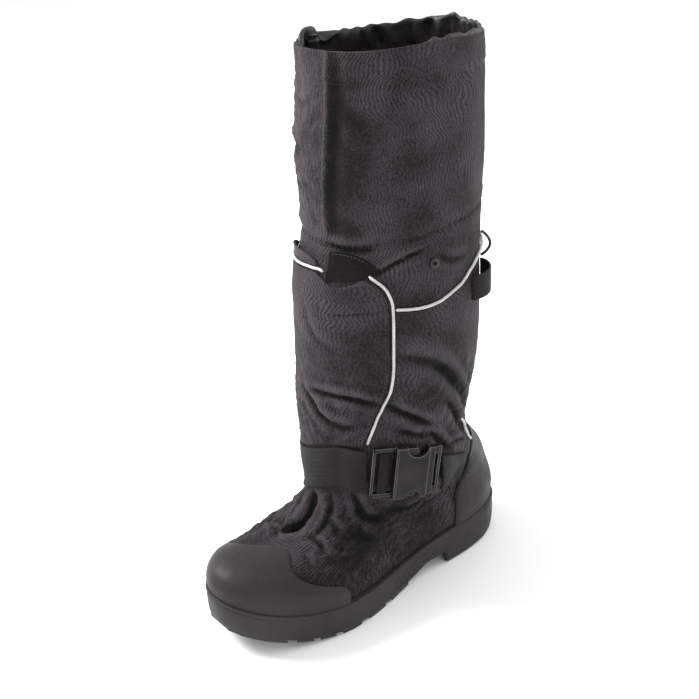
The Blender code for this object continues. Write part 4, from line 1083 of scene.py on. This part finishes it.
def tubeShape(route, normals, radius, sides=10):
    # a round tube along a route, a little thinner at its ends
    count = len(route)
    along = np.gradient(route, axis=0)
    along /= np.linalg.norm(along, axis=1, keepdims=True)
    side = np.cross(along, normals)
    side /= np.linalg.norm(side, axis=1, keepdims=True)
    out = np.cross(side, along)
    ends = np.ones(count)
    ends[[0, -1]] = 0.55
    points = route[:, None, :] + rings(side, out, sides) * (radius * 0.001 * ends)[:, None, None]
    faces = gridFaces(count, sides, True)
    faces.append(tuple(range(sides))[::-1])
    faces.append(tuple((count - 1) * sides + k for k in range(sides)))
    angle = np.linspace(0, 2 * np.pi, sides, endpoint=False)
    uv = np.stack(np.broadcast_arrays(runAlong(route)[:, None], (angle * radius)[None, :]), axis=-1)
    return points.reshape(-1, 3), faces, uv.reshape(-1, 2)


pipingSize = {"radius": 1.3, "lift": 1.7, "onFlap": 3.0}


def makePipings():
    beside = flapEdge + np.array((1.0, 2.3))
    beside[-1] = (329.5, 309.0)
    z = np.linspace(173.0, 329.5, 120)
    routes = [("pipingFlap", smooth(beside, z), z, "piping_flap")]
    turn = np.linspace(325.5, 450.0, 120)
    routes.append(("pipingSide", turn, smooth(sidePiping, turn), "piping_side"))
    turn = np.linspace(217.0, 279.0, 70)
    routes.append(("pipingInner", turn, smooth(flapTop, turn) + 3.2, "piping_inner"))
    turn = np.linspace(25.5, 47.0, 40)
    routes.append(("pipingHeel", turn, smooth(heelPiping, turn), "piping_heel"))
    for name, turn, z, replaced in routes:
        route, normals = onUpper(turn, z, pipingSize["onFlap" if name == "pipingInner" else "lift"])
        points, faces, uv = tubeShape(route, normals, pipingSize["radius"])
        finishPiece(makeMesh(name, points, faces, [piping], uv), "reflective_piping", replaced)


makePipings()
print("flap and piping made")


# ankle strap: in front of the buckle and behind it
strapBand = {"thick": 1.9, "edge": 0.9, "gap": 0.9, "slot": "webbing", "folded": False}
# name, what it replaces, turns at both ends and where it rises to the buckle, length, columns
strapEnds = (
    ("ankleStrap", "ankle_strap", 151.0, 310.5, 310.5, 208.0, 180),
    ("ankleStrapRear", "ankle_strap_rear", 358.0, 388.3, 358.0, 46.0, 46),
)


def strapPlace(first, last, raised):
    def place(u, v):
        turn = spread(first, last, u)
        lift = strap["rise"] * (1 - ease(0.0, strap["riseTurn"], np.abs(turn - raised)))
        lift = lift + strap["overFlap"] * (1 - ease(215.0, 235.0, turn))
        return turn, smooth(strapLine, turn) + strap["width"] * (v - 0.5), lift
    return place


def selvedge(x, y, near):
    # a slightly raised edge on both sides of the band
    inset = strap["selvedge"]
    return 0.25 * bell(y - inset, 1.0) + 0.25 * bell(y - (strap["width"] - inset), 1.0)


for name, replaced, first, last, raised, length, columns in strapEnds:
    makeLayer(name, strapPlace(first, last, raised), webbing, (length, strap["width"]), (columns, 26),
              replaced=(replaced,), texture=selvedge, **strapBand)


loop = {
    "first": 382.0, "last": 412.0, "low": 286.0, "high": 308.0, "bulge": 9.0, "inner": 0.6, "outer": 2.1,
    "size": (44.0, 22.0), "counts": (50, 14),
}


def loopPlace(u, v):
    lift = loop["bulge"] * np.sin(np.pi * u) ** 0.7
    return spread(loop["first"], loop["last"], u), spread(loop["low"], loop["high"], v), lift


def makeLoop():
    u, v = np.meshgrid(*(np.linspace(0, 1, count) for count in loop["counts"]))
    turn, z, lift = loopPlace(u, v)
    outer, _ = onUpper(turn, z, lift + loop["outer"], False)
    inner, _ = onUpper(turn, z, lift + loop["inner"], False)
    uv = np.stack([u * loop["size"][0], v * loop["size"][1]], axis=-1).reshape(-1, 2)
    points = np.concatenate([outer.reshape(-1, 3), inner.reshape(-1, 3)])
    uv = np.concatenate([uv, uv])
    obj = makeMesh("rearPullLoop", points, sheetFaces(*u.shape), [webbing], uv, sharp=40)
    finishPiece(obj, "webbing", "rear_pull_loop")


makeLoop()
print("straps made")


# side release buckle, in its own frame: x along the strap to the insert, y up, z out from the boot
buckle = {
    "turn": 333.5, "raise": 1.5, "lift": 1.6, "slope": -0.12,
    "body": (-10.0, 21.0, 26.0, 9.5), "notch": (9.9, 9.6), "notchLow": (8.4, 7.6),
    "frame": (-31.0, -9.0, 25.0, 4.8), "bar": 3.1, "rail": 3.8, "wrap": (-24.6, -14.6, 20.8, 5.4),
    "insert": (21.4, 33.0, 24.2, 7.2), "slot": (26.8, 30.0, 17.0),
    "edge": 0.7, "catchDepth": (2.4, 6.9, 0.6),  # the catches from and to in z, and their rounded edges
    "catch": (
        (-3.0, 13.0), (9.0, 12.6), (11.6, 15.0), (11.6, 22.4), (9.8, 24.6), (-1.0, 24.9), (-3.0, 22.5),
    ),
}


def addBlock(made, plan, low, high, bevel):
    # an upright block on a plan, with its edges rounded
    block = bmesh.new()
    face = block.faces.new([block.verts.new((x, y, low)) for x, y in plan])
    raised = bmesh.ops.extrude_face_region(block, geom=[face])["geom"]
    raised = [part for part in raised if isinstance(part, bmesh.types.BMVert)]
    bmesh.ops.translate(block, verts=raised, vec=(0, 0, high - low))
    block.faces.ensure_lookup_table()
    bmesh.ops.recalc_face_normals(block, faces=block.faces)
    edges = [edge for edge in block.edges if len(edge.link_faces) == 2 and edge.calc_face_angle() > 0.6]
    wornAndGlintEdges = bmesh.ops.bevel(
        block, geom=edges, offset=bevel, segments=3, profile=0.5, affect="EDGES", clamp_overlap=True)
    # rounded edges have the second finish; on the buckle that finish is a brighter plastic, a painted
    # highlight of glints on its edges
    for face in wornAndGlintEdges["faces"]:
        face.material_index = 1
    bmesh.ops.recalc_face_normals(block, faces=block.faces)
    mesh = bpy.data.meshes.new("block")
    block.to_mesh(mesh)
    block.free()
    made.from_mesh(mesh)
    bpy.data.meshes.remove(mesh)


def addOblongs(made, blocks):
    # from and to in x, in y and in z, and the radius of the edges
    for x0, x1, y0, y1, low, high, bevel in blocks:
        addBlock(made, [(x0, y0), (x1, y0), (x1, y1), (x0, y1)], low, high, bevel)


def arc(x, y, radius, first, last, count=22):
    angles = np.radians(np.linspace(first, last, count))
    return [(x + radius * math.cos(a), y + radius * math.sin(a)) for a in angles]


def buckleFrame():
    z = smooth(strapLine, buckle["turn"]) + buckle["raise"]
    turn, z = np.array([buckle["turn"]]), np.array([z])
    origin, normal = onUpper(turn, z, buckle["lift"], False)
    out = normal[0] / np.linalg.norm(normal[0])
    along = np.array((-out[1], out[0], buckle["slope"]))
    along -= out * (along @ out)
    along /= np.linalg.norm(along)
    basis = np.stack([along, np.cross(out, along), out], axis=1)
    return Matrix.Translation(Vector(origin[0])) @ Matrix(basis.tolist()).to_4x4() @ Matrix.Scale(0.001, 4)


def buckleMesh(name, made, finishes, slot, *replaced):
    mesh = bpy.data.meshes.new(name)
    layer = made.loops.layers.uv.new("cloth")
    for face in made.faces:
        for corner in face.loops:
            corner[layer].uv = corner.vert.co.xy
    made.transform(buckleFrame())
    made.to_mesh(mesh)
    made.free()
    for finish in finishes:
        mesh.materials.append(finish)
    obj = bpy.data.objects.new(name, mesh)
    bpy.context.scene.collection.objects.link(obj)
    mesh.shade_smooth()
    mesh.set_sharp_from_angle(angle=math.radians(40))
    finishPiece(obj, slot, *replaced)


def makeBuckle():
    start, end, half, depth = buckle["body"]
    made = bmesh.new()
    x, radius = buckle["notch"]
    lowX, lowRadius = buckle["notchLow"]
    plan = [(start, -half), *arc(lowX, -half, lowRadius, 180, 0), (end, -half), (end, half),
            *arc(x, half, radius, 0, -180), (start, half)]
    addBlock(made, plan, 0.0, depth, 0.8)
    first, last, side, thick = buckle["frame"]
    edge = buckle["edge"]
    wrapStart, wrapEnd, wrapHalf, wrapDepth = buckle["wrap"]
    addOblongs(made, (
        # a raised edge on the side towards the frame, the frame and its middle bar
        (start - 0.3, start + 2.0, -half + 0.6, half - 0.6, 0.5, depth + 0.25, 0.5),
        (first, first + buckle["bar"], -side, side, 0.2, thick, edge),
        (first, last, side - buckle["rail"], side, 0.2, thick, edge),
        (first, last, -side, buckle["rail"] - side, 0.2, thick, edge),
        (wrapStart + 3.0, wrapEnd - 3.0, -side + 1.0, side - 1.0, 1.2, wrapDepth - 1.6, 0.5),
    ))
    buckleMesh("buckleSocket", made, [plastic, paintedGlintPlastic], "gloss_plastic", "buckle_socket")
    # the strap's end goes over the frame's middle bar
    made = bmesh.new()
    addOblongs(made, ((wrapStart, wrapEnd, -wrapHalf, wrapHalf, 0.6, wrapDepth, 1.5),))
    buckleMesh("buckleWrap", made, [webbing, webbing], "webbing")
    made = bmesh.new()
    first, last, side, thick = buckle["insert"]
    slotStart, slotEnd, slotHalf = buckle["slot"]
    addOblongs(made, (
        (first, slotStart, -side, side, 1.0, thick, edge),
        (slotEnd, last, -side, side, 1.0, thick - 1.6, edge),
        (slotStart - 1.0, slotEnd + 1.0, slotHalf, side, 1.0, thick - 1.0, 0.5),
        (slotStart - 1.0, slotEnd + 1.0, -side, -slotHalf, 1.0, thick - 1.0, 0.5),
    ))
    # the two prongs and their catches, seen in the notches
    addBlock(made, buckle["catch"], *buckle["catchDepth"])
    addBlock(made, [(x, -y) for x, y in buckle["catch"][::-1]], *buckle["catchDepth"])
    addOblongs(made, (
        (9.0, first + 1.0, 12.8, 16.2, 3.0, 6.5, 0.4),
        (9.0, first + 1.0, -16.2, -12.8, 3.0, 6.5, 0.4),
    ))
    buckleMesh("buckleInsert", made, [plastic, paintedGlintPlastic], "gloss_plastic", "buckle_insert")


makeBuckle()
print("buckle made")


# fine ribs of the tread: waves around the toe and chevrons under the waist
tread = {
    "insets": (13.0, 18.0, 23.0), "wave": 1.1, "middle": -95.0,
    "chevrons": (14.0, 22.0, 30.0, 38.0, 46.0), "chevronHalf": 27.0, "chevronRise": 9.0, "radius": 0.95,
}


def makeTread():
    routes = []
    place, side = solePlan(np.radians(np.linspace(128.0, 232.0, 90)))
    place = place - tread["middle"]
    wave = tread["wave"] * np.sin(np.arange(90) * 0.42)
    for inset in tread["insets"]:
        shrink = 1 - inset / np.hypot(side, place)
        routes.append((side * shrink + wave, tread["middle"] + place * shrink + wave))
    share = np.linspace(-1, 1, 31)
    for start in tread["chevrons"]:
        routes.append((share * tread["chevronHalf"], start + tread["chevronRise"] * (1 - np.abs(share))))
    parts = []
    for x, y in routes:
        route = (np.stack([x, y, soleRoot(y) - 0.1], axis=1) + boot["shift"]) * 0.001
        down = np.broadcast_to(np.array((0.0, 0.0, -1.0)), route.shape)
        parts.append(tubeShape(route, down, tread["radius"], 8)[:2])
    finishPiece(makeMesh("treadRibs", *joined(parts), [soleRubber]), "rubber")


makeTread()


# rows of stitches along the seams, each stitch a short thread that dips into the cloth
stitches = {"pitch": 3.4, "length": 2.3, "radius": 0.32, "sides": 6}


def stitchRow(turn, z, lift):
    route, normals = onUpper(turn, z, lift)
    route[:, 2] += collarShift(turn, z) * 0.001
    run = runAlong(route)
    sides, radius = stitches["sides"], stitches["radius"] * 0.001
    faces = gridFaces(5, sides, True)
    faces += [tuple(range(sides))[::-1], tuple(4 * sides + k for k in range(sides))]
    parts = []
    for start in np.arange(1.0, run[-1] - stitches["length"], stitches["pitch"]):
        at = start + np.array((0.0, 0.15, 0.5, 0.85, 1.0)) * stitches["length"]
        centre = np.stack([np.interp(at, run, route[:, k]) for k in range(3)], axis=1)
        out = np.stack([np.interp(at, run, normals[:, k]) for k in range(3)], axis=1)
        out /= np.linalg.norm(out, axis=1, keepdims=True)
        along = (centre[-1] - centre[0]) / np.linalg.norm(centre[-1] - centre[0])
        centre = centre - out * (np.array((0.5, 0.15, 0.0, 0.15, 0.5)) * radius)[:, None]
        thick = radius * np.array((0.25, 0.9, 1.0, 0.9, 0.25))[:, None, None]
        points = centre[:, None, :] + rings(np.cross(out, along), out, sides) * thick
        parts.append((points.reshape(-1, 3), faces))
    return joined(parts)


def makeStitches():
    rows = []
    turn = np.linspace(200.0, 560.0, 900)
    for off in (-3.0, 3.4):
        rows.append((turn, smooth(shaftSeam, turn) + off, 0.1))
    rows.append((turn, np.full_like(turn, boot["hem"]), 0.25))
    z = np.linspace(126.0, 503.0, 500)
    for off in (-1.7, 1.7):
        rows.append((np.full_like(z, 90.0 + off), z, 0.15))
    z = np.linspace(176.0, 316.0, 240)
    rows.append((smooth(flapEdge, z) - 2.2, z, 2.75))
    turn = np.linspace(327.0, 448.0, 260)
    rows.append((turn, smooth(sidePiping, turn) - 3.6, 0.15))
    z = np.linspace(358.0, 503.0, 240)
    rows.append((smooth(frontEdge, z) - 3.4, z, 0.15))
    turn = np.linspace(284.0, 321.0, 110)
    rows.append((turn, 293.5 + (turn - 283.0) * 0.19 + 1.8, 2.7))
    turn = np.linspace(282.5, 309.0, 90)
    rows.append((turn, smooth(patchEdges, turn, 2) - 2.0, 1.5))
    finishPiece(makeMesh("stitching", *joined(stitchRow(*row) for row in rows), [thread]), "cord")


makeStitches()
print("stitches made")


# solids that are carried over get their finishes
def dress(name, finish, sharp=35):
    mesh = nodes[name].data
    mesh.materials.clear()
    mesh.materials.append(finish)
    mesh.shade_smooth()
    mesh.set_sharp_from_angle(angle=math.radians(sharp))


dress("outsole", soleRubber)
dress("insole", felt)
dress("snap_ring", gunmetal)
dress("collar_cord_lock", plastic)
for name in nodes:
    if name.startswith("stud_"):
        dress(name, steel)
print("carried solids have their finishes")
